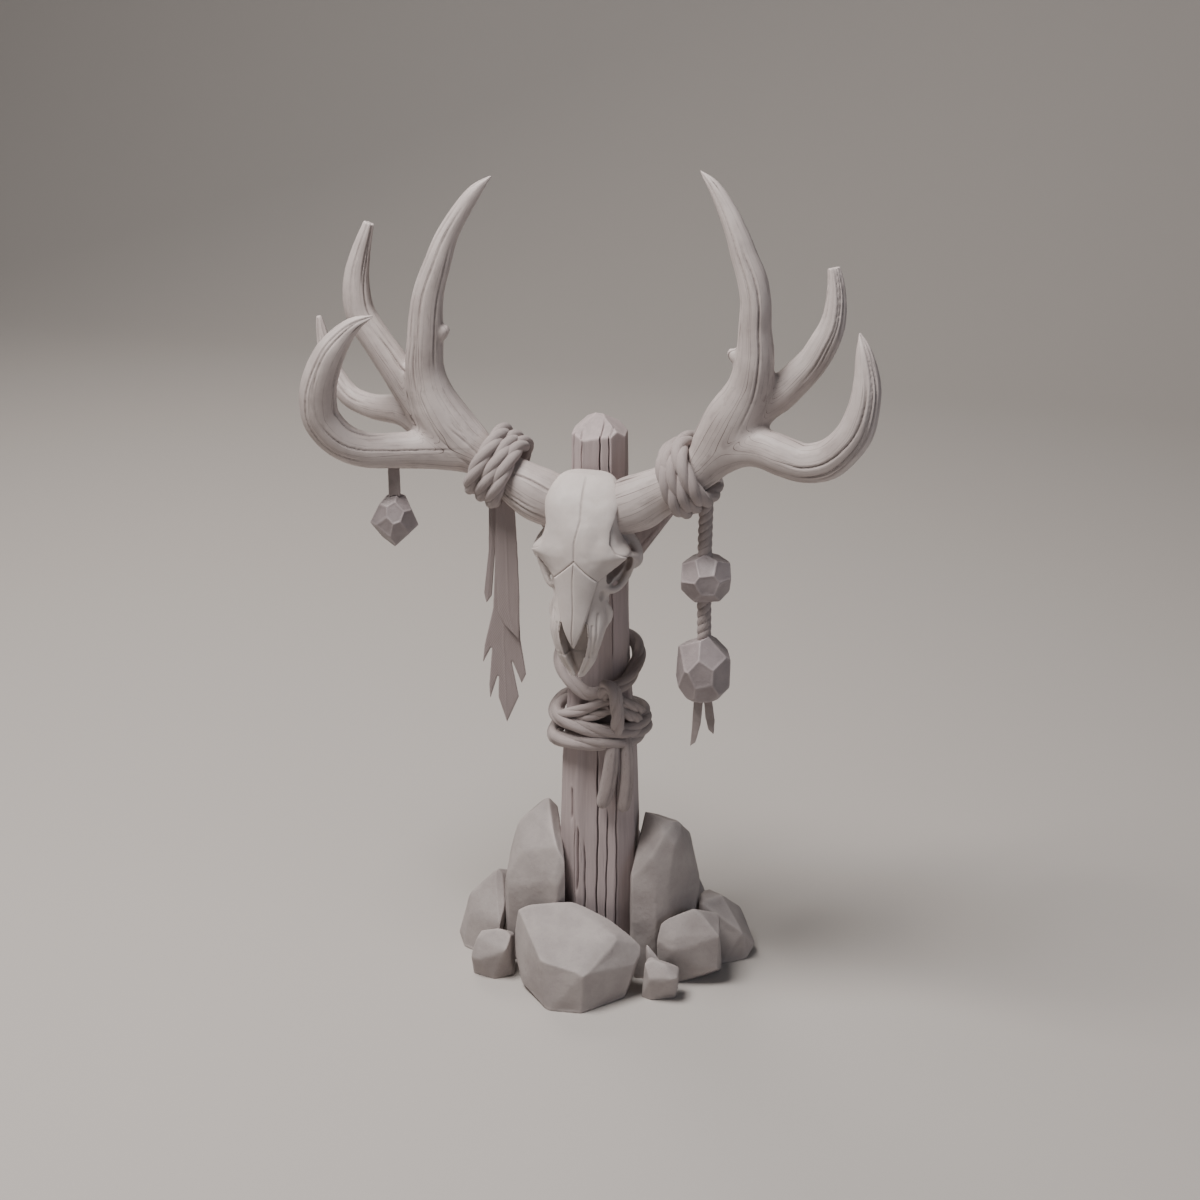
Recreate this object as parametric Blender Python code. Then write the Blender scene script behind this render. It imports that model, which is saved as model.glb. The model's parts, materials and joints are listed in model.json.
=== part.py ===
# Deer skull with antlers, lashed to a timber post that stands in a ring of rocks.
# Metres, +Z up. The skull faces -Y, and the post's foot is centred on the origin.
import math
import random

import bmesh
import bpy
import numpy as np
from mathutils import Vector

gap = 0.0003
sides_round = 12
forward = np.array((0.0, 1.0, 0.0))
upward = np.array((0.0, 0.0, 1.0))

# Colour, roughness and metallic of each material
materials = {
    "bone": ((0.62, 0.57, 0.51), 0.62, 0.0),
    "antler": ((0.50, 0.45, 0.40), 0.60, 0.0),
    "timber": ((0.36, 0.32, 0.29), 0.82, 0.0),
    "rope": ((0.44, 0.40, 0.36), 0.88, 0.0),
    "leather": ((0.38, 0.34, 0.31), 0.75, 0.0),
    "feather": ((0.42, 0.38, 0.36), 0.80, 0.0),
    "bead": ((0.44, 0.41, 0.40), 0.60, 0.0),
    "stone": ((0.45, 0.42, 0.40), 0.85, 0.0),
}

# Post: height, half width, half depth, from the foot up
post_levels = (
    (0.000, 0.047, 0.049),
    (0.100, 0.050, 0.050),
    (0.200, 0.053, 0.048),
    (0.300, 0.050, 0.044),
    (0.380, 0.043, 0.040),
    (0.430, 0.040, 0.036),
    (0.500, 0.038, 0.034),
    (0.755, 0.036, 0.033),
)
post_square = 2.8
post_sides = 8
# Planes that shape the top of the post: a point, then the way that its cut face looks
post_chips = (
    ((0.000, 0.000, 0.752), (0.10, -0.05, 1.0)),
    ((0.000, -0.020, 0.738), (-0.10, -0.75, 1.0)),
    ((-0.020, 0.000, 0.742), (-0.80, -0.10, 1.0)),
    ((0.018, 0.000, 0.742), (0.75, 0.20, 1.0)),
    ((0.000, 0.020, 0.744), (0.05, 0.60, 1.0)),
)

# Skull: height, front, half width, where it is widest, back, squareness in front
skull_levels = (
    (0.7015, -0.048, 0.016, -0.042, -0.034, 2.0),
    (0.6970, -0.060, 0.031, -0.050, -0.030, 2.2),
    (0.6840, -0.078, 0.043, -0.060, -0.028, 2.6),
    (0.6680, -0.090, 0.0475, -0.068, -0.028, 2.8),
    (0.6520, -0.0985, 0.0460, -0.074, -0.028, 2.8),
    (0.6390, -0.1050, 0.0425, -0.080, -0.028, 2.7),
    (0.6220, -0.1105, 0.0450, -0.086, -0.028, 2.3),
    (0.6080, -0.1140, 0.0590, -0.088, -0.030, 1.8),
    (0.5980, -0.1155, 0.0550, -0.078, -0.034, 1.8),
    (0.5840, -0.1170, 0.0460, -0.072, -0.038, 1.9),
    (0.5680, -0.1182, 0.0380, -0.076, -0.046, 2.0),
    (0.5540, -0.1190, 0.0345, -0.082, -0.052, 2.0),
    (0.5400, -0.1200, 0.0335, -0.086, -0.056, 2.0),
    (0.5200, -0.1215, 0.0325, -0.088, -0.060, 1.9),
    (0.5050, -0.1205, 0.0300, -0.092, -0.064, 1.9),
    (0.4880, -0.1165, 0.0262, -0.096, -0.072, 2.0),
    (0.4700, -0.1105, 0.0210, -0.098, -0.082, 2.0),
    (0.4580, -0.1065, 0.0150, -0.098, -0.088, 2.0),
    (0.4485, -0.1040, 0.0080, -0.098, -0.092, 2.0),
)
skull_sides = 24
# Nasal plate: height, half width
nasal_levels = (
    (0.6030, 0.0010),
    (0.5775, 0.0270),
    (0.5620, 0.0235),
    (0.5450, 0.0195),
    (0.5310, 0.0160),
    (0.5170, 0.0120),
    (0.5060, 0.0075),
    (0.4940, 0.0025),
)
nasal_thickness = 0.0045
# The suture between the face and the muzzle: a point on it, and the way up its plane
suture_point = Vector((0.0, -0.115, 0.577))
suture_normal = Vector((0.0, 0.40, 0.92)).normalized()
# Eye socket: middle, the way that it looks, and its half height, half width and half depth
orbit_middle = (0.0420, -0.0780, 0.5820)
orbit_out = (0.91, -0.36, 0.20)
orbit_halves = (0.0200, 0.0180, 0.0250)
# Corners of the raised rim round the socket
orbit_rim = (
    (0.0570, -0.0800, 0.6040, 0.0042),
    (0.0440, -0.0950, 0.5900, 0.0040),
    (0.0350, -0.0980, 0.5750, 0.0042),
    (0.0385, -0.0860, 0.5600, 0.0048),
    (0.0465, -0.0670, 0.5620, 0.0052),
    (0.0560, -0.0580, 0.5780, 0.0050),
    (0.0610, -0.0620, 0.5950, 0.0050),
)
# Corners of the flat process behind each socket
orbit_blade = (
    (0.050, -0.082, 0.609),
    (0.058, -0.076, 0.605),
    (0.066, -0.058, 0.600),
    (0.066, -0.050, 0.606),
    (0.052, -0.052, 0.625),
    (0.046, -0.062, 0.622),
    (0.054, -0.076, 0.597),
    (0.060, -0.056, 0.592),
)
# Cheekbone, from under the socket out to its knob and back to the braincase
cheek_route = (
    (0.034, -0.080, 0.552, 0.0090),
    (0.046, -0.072, 0.560, 0.0085),
    (0.058, -0.062, 0.573, 0.0075),
    (0.0665, -0.053, 0.590, 0.0085),
    (0.060, -0.047, 0.604, 0.0100),
    (0.046, -0.045, 0.616, 0.0120),
    (0.032, -0.045, 0.626, 0.0120),
)
# The bump on each side of the muzzle, below the socket
tuber_route = (
    (0.0300, -0.0870, 0.5510, 0.0052),
    (0.0375, -0.0838, 0.5390, 0.0068),
    (0.0310, -0.0890, 0.5240, 0.0052),
)
# Right half of the nose opening, seen from the front, down to the gap between the jaw's two tips
nose_outline = (
    (0.0150, 0.5250),
    (0.0180, 0.5120),
    (0.0175, 0.4970),
    (0.0145, 0.4820),
    (0.0100, 0.4690),
    (0.0055, 0.4590),
    (0.0022, 0.4520),
    (0.0018, 0.4400),
)
nose_span = (-0.160, -0.0907)
tooth_count = 6

# Antlers: x, y, z and radius along each branch. The beam's first rows are the bone that it grows from.
antler_depth = 0.9
beam_start = 4
antlers = {
    "left": {
        "beam": (
            (-0.010, -0.052, 0.640, 0.0300),
            (-0.036, -0.052, 0.650, 0.0340),
            (-0.060, -0.052, 0.660, 0.0345),
            (-0.082, -0.050, 0.670, 0.0315),
            (-0.108, -0.047, 0.683, 0.0270),
            (-0.136, -0.045, 0.699, 0.0270),
            (-0.153, -0.045, 0.712, 0.0315),
            (-0.177, -0.045, 0.735, 0.0341),
            (-0.199, -0.047, 0.770, 0.0303),
        ),
        "tine_a": (
            (-0.177, -0.045, 0.735, 0.0329),
            (-0.197, -0.047, 0.771, 0.0291),
            (-0.206, -0.048, 0.808, 0.0248),
            (-0.204, -0.050, 0.846, 0.0228),
            (-0.199, -0.050, 0.898, 0.0197),
            (-0.186, -0.047, 0.942, 0.0166),
            (-0.175, -0.043, 0.972, 0.0139),
            (-0.158, -0.038, 1.002, 0.0118),
            (-0.142, -0.032, 1.025, 0.0082),
            (-0.125, -0.026, 1.042, 0.0018),
        ),
        "tine_b": (
            (-0.192, -0.040, 0.735, 0.0293),
            (-0.225, -0.035, 0.768, 0.0244),
            (-0.251, -0.032, 0.802, 0.0213),
            (-0.274, -0.030, 0.833, 0.0198),
            (-0.293, -0.028, 0.861, 0.0195),
            (-0.299, -0.027, 0.885, 0.0182),
            (-0.299, -0.025, 0.911, 0.0161),
            (-0.293, -0.022, 0.941, 0.0121),
            (-0.283, -0.018, 0.975, 0.0072),
        ),
        "tine_c": (
            (-0.208, -0.030, 0.730, 0.0270),
            (-0.250, -0.005, 0.737, 0.0211),
            (-0.294, 0.012, 0.733, 0.0169),
            (-0.329, 0.022, 0.739, 0.0151),
            (-0.352, 0.030, 0.758, 0.0139),
            (-0.367, 0.036, 0.788, 0.0113),
            (-0.375, 0.040, 0.815, 0.0082),
            (-0.379, 0.042, 0.837, 0.0038),
        ),
        "tine_d": (
            (-0.149, -0.045, 0.708, 0.0290),
            (-0.176, -0.050, 0.708, 0.0278),
            (-0.205, -0.058, 0.708, 0.0250),
            (-0.241, -0.068, 0.706, 0.0229),
            (-0.275, -0.080, 0.708, 0.0223),
            (-0.302, -0.092, 0.722, 0.0237),
            (-0.320, -0.102, 0.749, 0.0242),
            (-0.322, -0.107, 0.775, 0.0235),
            (-0.317, -0.110, 0.804, 0.0221),
            (-0.304, -0.110, 0.834, 0.0191),
            (-0.289, -0.108, 0.856, 0.0148),
            (-0.271, -0.105, 0.873, 0.0095),
            (-0.249, -0.100, 0.883, 0.0018),
        ),
    },
    "right": {
        "beam": (
            (0.010, -0.052, 0.640, 0.0300),
            (0.036, -0.052, 0.650, 0.0340),
            (0.060, -0.052, 0.662, 0.0345),
            (0.082, -0.050, 0.675, 0.0305),
            (0.106, -0.047, 0.690, 0.0270),
            (0.137, -0.045, 0.712, 0.0268),
            (0.152, -0.045, 0.730, 0.0300),
            (0.174, -0.045, 0.765, 0.0329),
            (0.189, -0.047, 0.800, 0.0300),
        ),
        "tine_a": (
            (0.151, -0.045, 0.735, 0.0300),
            (0.174, -0.046, 0.777, 0.0328),
            (0.194, -0.048, 0.814, 0.0279),
            (0.201, -0.050, 0.855, 0.0231),
            (0.200, -0.050, 0.889, 0.0198),
            (0.200, -0.050, 0.920, 0.0187),
            (0.195, -0.048, 0.945, 0.0183),
            (0.184, -0.045, 0.972, 0.0162),
            (0.175, -0.042, 0.995, 0.0143),
            (0.161, -0.037, 1.022, 0.0120),
            (0.144, -0.032, 1.047, 0.0074),
            (0.126, -0.027, 1.063, 0.0016),
        ),
        "tine_b": (
            (0.177, -0.040, 0.764, 0.0306),
            (0.208, -0.036, 0.793, 0.0234),
            (0.228, -0.033, 0.809, 0.0222),
            (0.247, -0.030, 0.828, 0.0204),
            (0.264, -0.028, 0.848, 0.0191),
            (0.275, -0.026, 0.868, 0.0179),
            (0.285, -0.024, 0.892, 0.0155),
            (0.288, -0.022, 0.916, 0.0132),
            (0.287, -0.020, 0.939, 0.0106),
            (0.283, -0.018, 0.959, 0.0080),
        ),
        "tine_d": (
            (0.151, -0.045, 0.729, 0.0290),
            (0.185, -0.050, 0.745, 0.0264),
            (0.213, -0.056, 0.747, 0.0246),
            (0.240, -0.064, 0.742, 0.0245),
            (0.267, -0.070, 0.738, 0.0238),
            (0.293, -0.075, 0.746, 0.0242),
            (0.313, -0.080, 0.764, 0.0229),
            (0.328, -0.080, 0.787, 0.0217),
            (0.336, -0.078, 0.817, 0.0188),
            (0.336, -0.072, 0.845, 0.0159),
            (0.330, -0.066, 0.876, 0.0096),
            (0.323, -0.060, 0.896, 0.0020),
        ),
    },
}
# The row of each tine's curve where its own node starts
tine_starts = {
    "left": {"tine_a": 5, "tine_b": 5, "tine_c": 3, "tine_d": 7},
    "right": {"tine_a": 5, "tine_b": 7, "tine_d": 7},
}
# A stub of a worn point on the inner side of each tine A: root, tip
spurs = {
    "left": ((-0.190, -0.050, 0.853, 0.010), (-0.177, -0.051, 0.860, 0.0015)),
    "right": ((0.188, -0.050, 0.850, 0.010), (0.173, -0.051, 0.858, 0.0015)),
}

# Lashings of the beams: middle, way along the beam, then each turn's shift along it at top and bottom
rope_flat = 0.0070
rope_wide = 0.0100
lashing_high = 0.0290
lashing_deep = 0.0374
lashing_back = 0.0107
lashings = {
    "left": (
        (-0.122, -0.046, 0.690),
        (-0.87, 0.0, 0.49),
        ((0.014, 0.009), (-0.002, -0.007), (-0.014, -0.023)),
    ),
    "right": (
        (0.122, -0.046, 0.701),
        (0.82, 0.0, 0.57),
        ((0.015, 0.007), (0.000, -0.009), (-0.008, -0.024)),
    ),
}
lashing_square = 2.5

# Struts behind the beams: start in the post, end inside the lashing, and half width at each end
struts = {
    "left": ((-0.028, 0.002, 0.578), (-0.122, -0.0108, 0.683), 0.021, 0.010),
    "right": ((0.028, 0.002, 0.572), (0.122, -0.0108, 0.692), 0.020, 0.010),
}
strut_half_depth = 0.0085

# Rope turns round the post: height, sideways and forward slope, then the rope's half thickness
turn_flatness = 1.35
post_turns = (
    (0.334, -0.05, 0.02, 0.0068),
    (0.350, 0.06, -0.03, 0.0068),
    (0.366, -0.14, 0.05, 0.0064),
    (0.437, -0.18, 0.74, 0.0066),
    (0.396, 0.30, -0.34, 0.0056),
)
knot_route = (
    (0.024, -0.050, 0.430, 0.0075),
    (0.027, -0.056, 0.420, 0.0095),
    (0.028, -0.058, 0.402, 0.0105),
    (0.028, -0.058, 0.382, 0.0095),
    (0.027, -0.050, 0.364, 0.0075),
)
# Loose ends of the post's rope
rope_tails = (
    (
        (0.027, -0.047, 0.348, 0.0080),
        (0.029, -0.052, 0.320, 0.0092),
        (0.026, -0.052, 0.287, 0.0098),
        (0.020, -0.052, 0.257, 0.0075),
        (0.019, -0.052, 0.249, 0.0035),
    ),
    (
        (0.040, -0.038, 0.348, 0.0072),
        (0.044, -0.043, 0.320, 0.0085),
        (0.045, -0.043, 0.287, 0.0092),
        (0.042, -0.042, 0.253, 0.0074),
        (0.041, -0.042, 0.245, 0.0035),
    ),
)

# Hanging bead rope on the right, from its lashing down
hang_x, hang_y = 0.1445, -0.045
hang_top = 0.680
hang_radii = (0.0090, 0.0080)
tassel_outlines = (
    ((-0.011, 0.412), (0.001, 0.412), (-0.002, 0.376), (-0.008, 0.352), (-0.015, 0.346), (-0.013, 0.372)),
    ((0.0015, 0.412), (0.012, 0.412), (0.016, 0.384), (0.015, 0.366), (0.008, 0.372), (0.004, 0.388)),
)
tassel_thick = 0.0035

# Pendant on the left: a strap and a faceted drop under tine D
pendant_x, pendant_y = -0.243, -0.068
strap_half, strap_thick = 0.0075, 0.0040
strap_span = (0.640, 0.700)

# Beads and drop: middle, half sizes, and the way that each flat facet looks
facet_depth = 0.93
beads = {
    "bead_upper": (
        (0.1455, -0.0450, 0.5730),
        (0.0310, 0.0310, 0.0315),
        (
            (0.18, -0.63, 0.75), (-0.50, -0.73, 0.47), (0.82, -0.37, 0.45), (0.39, 0.16, 0.91),
            (-0.46, -0.04, 0.89), (0.35, -0.93, -0.05), (-0.39, -0.84, -0.39), (0.21, -0.65, -0.74),
            (0.86, -0.43, -0.28), (-0.99, -0.16, 0.01), (0.91, 0.42, -0.04), (-0.27, 0.94, 0.20),
            (-0.81, 0.57, -0.10), (0.38, 0.91, -0.15), (-0.43, 0.41, -0.80), (0.26, 0.56, -0.79),
            (-0.16, 0.57, 0.80), (0.10, -0.16, -0.98),
        ),
    ),
    "bead_lower": (
        (0.1455, -0.0450, 0.4520),
        (0.0330, 0.0330, 0.0440),
        (
            (0.44, -0.60, 0.67), (-0.46, -0.66, 0.60), (0.60, 0.16, 0.78), (0.16, -0.99, 0.01),
            (0.84, -0.54, -0.02), (-0.48, -0.81, -0.35), (0.25, -0.81, -0.53), (-0.86, -0.50, 0.08),
            (0.93, 0.37, -0.02), (-0.34, 0.07, 0.94), (-0.32, 0.95, 0.03), (-0.90, 0.43, 0.05),
            (0.46, 0.89, -0.08), (-0.59, 0.44, -0.67), (0.14, 0.62, -0.77), (-0.16, 0.57, 0.80),
            (0.15, -0.14, -0.98),
        ),
    ),
    "pendant_drop": (
        (pendant_x, pendant_y, 0.6180),
        (0.0245, 0.0235, 0.0300),
        (
            (0.26, -0.81, 0.52), (-0.53, -0.77, 0.36), (-0.27, -0.33, 0.91), (0.56, -0.22, 0.80),
            (0.89, -0.44, 0.08), (-0.25, -0.96, -0.16), (0.49, -0.78, -0.38), (-0.46, -0.58, -0.67),
            (0.80, 0.41, 0.43), (-0.85, 0.08, 0.52), (-0.28, 0.96, -0.02), (-0.86, 0.44, -0.26),
            (0.51, 0.78, -0.36), (-0.14, 0.50, -0.86), (0.64, -0.03, -0.77), (-0.13, 0.62, 0.77),
        ),
    ),
}

# Feathers on the left: outlines seen from the front, then where each lies in depth
feather_thick = 0.0036
feathers = {
    "feather_front": (
        -0.0545,
        (
            (-0.116, 0.672), (-0.094, 0.672), (-0.090, 0.590), (-0.088, 0.525),
            (-0.089, 0.468), (-0.107, 0.486), (-0.116, 0.503), (-0.117, 0.555),
        ),
    ),
    "feather_long": (
        -0.0500,
        (
            (-0.118, 0.668), (-0.099, 0.668), (-0.092, 0.560), (-0.089, 0.466), (-0.082, 0.420),
            (-0.088, 0.407), (-0.093, 0.420), (-0.102, 0.441), (-0.092, 0.388), (-0.108, 0.351),
            (-0.119, 0.385), (-0.118, 0.419), (-0.130, 0.381), (-0.131, 0.400), (-0.126, 0.455),
            (-0.139, 0.429), (-0.136, 0.455), (-0.124, 0.505), (-0.121, 0.560),
        ),
    ),
    "feather_side": (
        -0.0455,
        (
            (-0.128, 0.672), (-0.117, 0.672), (-0.121, 0.590), (-0.127, 0.520),
            (-0.134, 0.509), (-0.137, 0.523), (-0.130, 0.580),
        ),
    ),
}

# Rocks in view: the corners of each one
rocks = {
    "rock_front": (
        (-0.027, -0.151, 0.000), (0.017, -0.146, 0.000), (0.066, -0.085, 0.000), (-0.075, -0.108, 0.008),
        (-0.098, -0.076, 0.045), (-0.092, -0.073, 0.100), (-0.076, -0.068, 0.111), (-0.047, -0.060, 0.115),
        (-0.020, -0.058, 0.111), (0.018, -0.058, 0.100), (0.050, -0.062, 0.088), (0.075, -0.068, 0.073),
        (0.080, -0.086, 0.048), (-0.038, -0.145, 0.068), (0.021, -0.150, 0.060), (0.050, -0.100, 0.092),
        (-0.060, -0.058, 0.000), (0.050, -0.058, 0.000), (-0.086, -0.072, 0.000),
    ),
    "rock_tall_left": (
        (-0.060, 0.000, 0.229), (-0.085, 0.000, 0.221), (-0.095, -0.010, 0.212), (-0.106, -0.015, 0.196),
        (-0.113, -0.020, 0.170), (-0.126, -0.030, 0.134), (-0.123, -0.045, 0.104), (-0.095, -0.044, 0.164),
        (-0.040, -0.068, 0.142), (-0.030, -0.058, 0.190), (-0.026, -0.062, 0.112), (-0.122, -0.035, 0.000),
        (-0.120, 0.030, 0.000), (-0.055, 0.045, 0.000), (-0.040, -0.060, 0.000), (-0.122, 0.020, 0.120),
        (-0.070, 0.048, 0.190),
    ),
    "rock_far_left": (
        (-0.139, 0.000, 0.114), (-0.159, 0.000, 0.093), (-0.179, -0.010, 0.073), (-0.197, -0.007, 0.010),
        (-0.183, -0.026, 0.000), (-0.176, -0.022, 0.050), (-0.118, -0.050, 0.055), (-0.130, -0.052, 0.000),
        (-0.194, 0.012, 0.000), (-0.150, 0.055, 0.000), (-0.120, 0.045, 0.090), (-0.168, 0.040, 0.060),
    ),
    "rock_small_left": (
        (-0.139, -0.080, 0.061), (-0.114, -0.080, 0.069), (-0.095, -0.080, 0.063), (-0.093, -0.078, 0.000),
        (-0.116, -0.096, 0.000), (-0.150, -0.088, 0.000), (-0.150, -0.096, 0.026), (-0.142, -0.090, 0.056),
        (-0.098, -0.100, 0.048), (-0.137, -0.102, 0.030), (-0.140, -0.052, 0.045), (-0.100, -0.052, 0.050),
        (-0.140, -0.052, 0.000), (-0.100, -0.055, 0.000),
    ),
    "rock_tall_right": (
        (0.052, 0.010, 0.219), (0.078, 0.010, 0.222), (0.102, 0.000, 0.222), (0.108, 0.000, 0.212),
        (0.131, -0.010, 0.117), (0.128, -0.012, 0.095), (0.097, -0.042, 0.090), (0.062, -0.046, 0.092),
        (0.092, -0.028, 0.210), (0.068, -0.042, 0.175), (0.107, -0.030, 0.183), (0.055, -0.045, 0.000),
        (0.118, -0.030, 0.000), (0.130, 0.040, 0.000), (0.055, 0.050, 0.000), (0.060, 0.050, 0.190),
        (0.110, 0.045, 0.180), (0.130, 0.040, 0.100),
    ),
    "rock_mid_right": (
        (0.090, -0.047, 0.091), (0.136, -0.032, 0.110), (0.147, -0.032, 0.102), (0.171, -0.038, 0.077),
        (0.167, -0.034, 0.026), (0.152, -0.008, 0.000), (0.119, -0.036, 0.000), (0.075, -0.052, 0.075),
        (0.115, -0.054, 0.076), (0.114, -0.058, 0.056), (0.150, -0.042, 0.030), (0.088, -0.048, 0.000),
        (0.118, 0.020, 0.080), (0.160, 0.010, 0.085), (0.165, 0.010, 0.000), (0.100, 0.010, 0.000),
    ),
    "rock_far_right": (
        (0.120, 0.045, 0.092), (0.154, 0.050, 0.089), (0.197, 0.067, 0.012), (0.189, 0.045, 0.000),
        (0.158, 0.020, 0.000), (0.187, 0.032, 0.046), (0.130, 0.020, 0.090), (0.125, 0.095, 0.070),
        (0.170, 0.095, 0.050), (0.190, 0.085, 0.000), (0.125, 0.105, 0.000), (0.125, 0.020, 0.000),
    ),
    "rock_small_right": (
        (0.084, -0.088, 0.052), (0.096, -0.085, 0.059), (0.111, -0.085, 0.055), (0.130, -0.088, 0.038),
        (0.124, -0.064, 0.003), (0.094, -0.090, 0.000), (0.079, -0.085, 0.000), (0.094, -0.099, 0.036),
        (0.121, -0.097, 0.038), (0.124, -0.076, 0.000), (0.125, -0.060, 0.040), (0.084, -0.064, 0.050),
        (0.084, -0.066, 0.000),
    ),
    "rock_chip": (
        (0.077, -0.058, 0.068), (0.080, -0.066, 0.060), (0.101, -0.062, 0.043), (0.082, -0.074, 0.000),
        (0.105, -0.070, 0.000), (0.079, -0.056, 0.000), (0.105, -0.056, 0.000),
    ),
}
# Rocks behind the post: x, y, half width, half depth and height
rear_rocks = {
    "rock_back_tall": (-0.004, 0.096, 0.062, 0.046, 0.165),
    "rock_back_left": (-0.095, 0.088, 0.052, 0.044, 0.105),
    "rock_back_right": (0.074, 0.118, 0.050, 0.040, 0.092),
    "rock_back_low": (-0.030, 0.152, 0.044, 0.030, 0.055),
}


def clear_scene():
    for obj in list(bpy.data.objects):
        bpy.data.objects.remove(obj, do_unlink=True)


def make_material(slot):
    colour, roughness, metallic = materials[slot]
    made = bpy.data.materials.new(slot)
    made.use_nodes = True
    shader = made.node_tree.nodes["Principled BSDF"]
    shader.inputs["Base Color"].default_value = (*colour, 1.0)
    shader.inputs["Roughness"].default_value = roughness
    shader.inputs["Metallic"].default_value = metallic
    return made


def body_of(name, mesh_data):
    """An object from a bmesh, with its faces turned out."""
    bmesh.ops.recalc_face_normals(mesh_data, faces=mesh_data.faces)
    mesh = bpy.data.meshes.new(name)
    mesh_data.to_mesh(mesh)
    mesh_data.free()
    obj = bpy.data.objects.new(name, mesh)
    bpy.context.scene.collection.objects.link(obj)
    return obj


def skin(name, loops, ring=False):
    """Joins loops of as many points each into one closed surface."""
    count, sides = len(loops), len(loops[0])
    mesh_data = bmesh.new()
    rows = [[mesh_data.verts.new(point) for point in loop] for loop in loops]
    for i in range(count if ring else count - 1):
        here, there = rows[i], rows[(i + 1) % count]
        for j in range(sides):
            after = (j + 1) % sides
            mesh_data.faces.new((here[j], here[after], there[after], there[j]))
    if not ring:
        mesh_data.faces.new(rows[0])
        mesh_data.faces.new(rows[-1])
    return body_of(name, mesh_data)


def smooth(points, steps):
    """Rows of a curve through every point, with its radius as the last value."""
    rows = np.array([points[0], *points, points[-1]], float)
    curve = []
    for i in range(1, len(rows) - 2):
        before, start, end, after = rows[i - 1 : i + 3]
        for step in range(steps):
            t = step / steps
            bend = (2 * before - 5 * start + 4 * end - after) * t * t
            twist = (3 * start - before - 3 * end + after) * t**3
            curve.append(0.5 * (2 * start + (end - before) * t + bend + twist))
    curve.append(rows[-2])
    return np.array(curve)


def unit(rows):
    return rows / np.linalg.norm(rows, axis=-1, keepdims=True)


def rings_along(path, sides, depth, reference, extra=0.0, closed=False):
    """Loops of points round a path; depth is their thickness toward the reference way."""
    centres = path[:, :3]
    if closed:
        tangents = unit(np.roll(centres, -1, axis=0) - np.roll(centres, 1, axis=0))
    else:
        tangents = unit(np.gradient(centres, axis=0))
    across = unit(np.cross(tangents, reference))
    toward = np.cross(tangents, across)
    turn = 2 * math.pi * (np.arange(sides) + 0.5) / sides
    radii = path[:, 3][:, None, None]
    high = (radii + extra) * np.cos(turn)[None, :, None] * across[:, None]
    deep = (radii * depth + extra) * np.sin(turn)[None, :, None] * toward[:, None]
    return centres[:, None] + high + deep, tangents


def tube(name, points, steps=2, sides=sides_round, depth=1.0, reference=forward, extra=0.0):
    loops, _ = rings_along(smooth(points, steps), sides, depth, reference, extra)
    return skin(name, loops)


def remove(objects):
    for obj in objects:
        bpy.data.objects.remove(obj, do_unlink=True)


def apply_boolean(obj, operation, others):
    group = bpy.data.collections.new("cutters")
    for other in others:
        group.objects.link(other)
    modifier = obj.modifiers.new("boolean", "BOOLEAN")
    modifier.operation = operation
    modifier.solver = "EXACT"
    modifier.operand_type = "COLLECTION"
    modifier.collection = group
    graph = bpy.context.evaluated_depsgraph_get()
    mesh = bpy.data.meshes.new_from_object(obj.evaluated_get(graph))
    obj.modifiers.clear()
    obj.data = mesh
    remove(others)
    bpy.data.collections.remove(group)
    keep_largest(obj)
    return obj


def join(name, pieces):
    first = pieces[0]
    first.name = name
    return apply_boolean(first, "UNION", pieces[1:]) if len(pieces) > 1 else first


def cut(obj, cutters):
    return apply_boolean(obj, "DIFFERENCE", cutters)


def keep_largest(obj):
    """Drops every closed surface of the mesh but the largest."""
    mesh_data = bmesh.new()
    mesh_data.from_mesh(obj.data)
    waiting = set(mesh_data.faces)
    surfaces = []
    while waiting:
        queue = [waiting.pop()]
        surface = list(queue)
        while queue:
            for edge in queue.pop().edges:
                for face in edge.link_faces:
                    if face in waiting:
                        waiting.remove(face)
                        queue.append(face)
                        surface.append(face)
        surfaces.append(surface)
    surfaces.sort(key=lambda faces: sum(face.calc_area() for face in faces))
    spare = {vert for surface in surfaces[:-1] for face in surface for vert in face.verts}
    bmesh.ops.delete(mesh_data, geom=list(spare), context="VERTS")
    mesh_data.to_mesh(obj.data)
    mesh_data.free()


def slice_off(obj, point, normal):
    """Cuts off what lies past a plane and closes the cut."""
    mesh_data = bmesh.new()
    mesh_data.from_mesh(obj.data)
    geometry = mesh_data.verts[:] + mesh_data.edges[:] + mesh_data.faces[:]
    cut_made = bmesh.ops.bisect_plane(
        mesh_data, geom=geometry, plane_co=point, plane_no=normal, clear_outer=True
    )
    edges = [item for item in cut_made["geom_cut"] if isinstance(item, bmesh.types.BMEdge)]
    if edges:
        bmesh.ops.contextual_create(mesh_data, geom=edges)
    bmesh.ops.recalc_face_normals(mesh_data, faces=mesh_data.faces)
    mesh_data.to_mesh(obj.data)
    mesh_data.free()


def half_space(point, normal):
    """A large block that fills the side of a plane that its normal looks to."""
    size = 0.4
    turn = normal.to_track_quat("Z", "Y").to_matrix()
    corners = [(a * size, b * size, c * size) for a in (-1, 1) for b in (-1, 1) for c in (0, 1)]
    return hull("half_space", [point + turn @ Vector(corner) for corner in corners])


def hull(name, points):
    mesh_data = bmesh.new()
    for point in points:
        mesh_data.verts.new(point)
    made = bmesh.ops.convex_hull(mesh_data, input=mesh_data.verts[:])
    left_over = made["geom_interior"] + made["geom_unused"]
    spare = [item for item in left_over if isinstance(item, bmesh.types.BMVert)]
    bmesh.ops.delete(mesh_data, geom=list(set(spare)), context="VERTS")
    return body_of(name, mesh_data)


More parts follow.
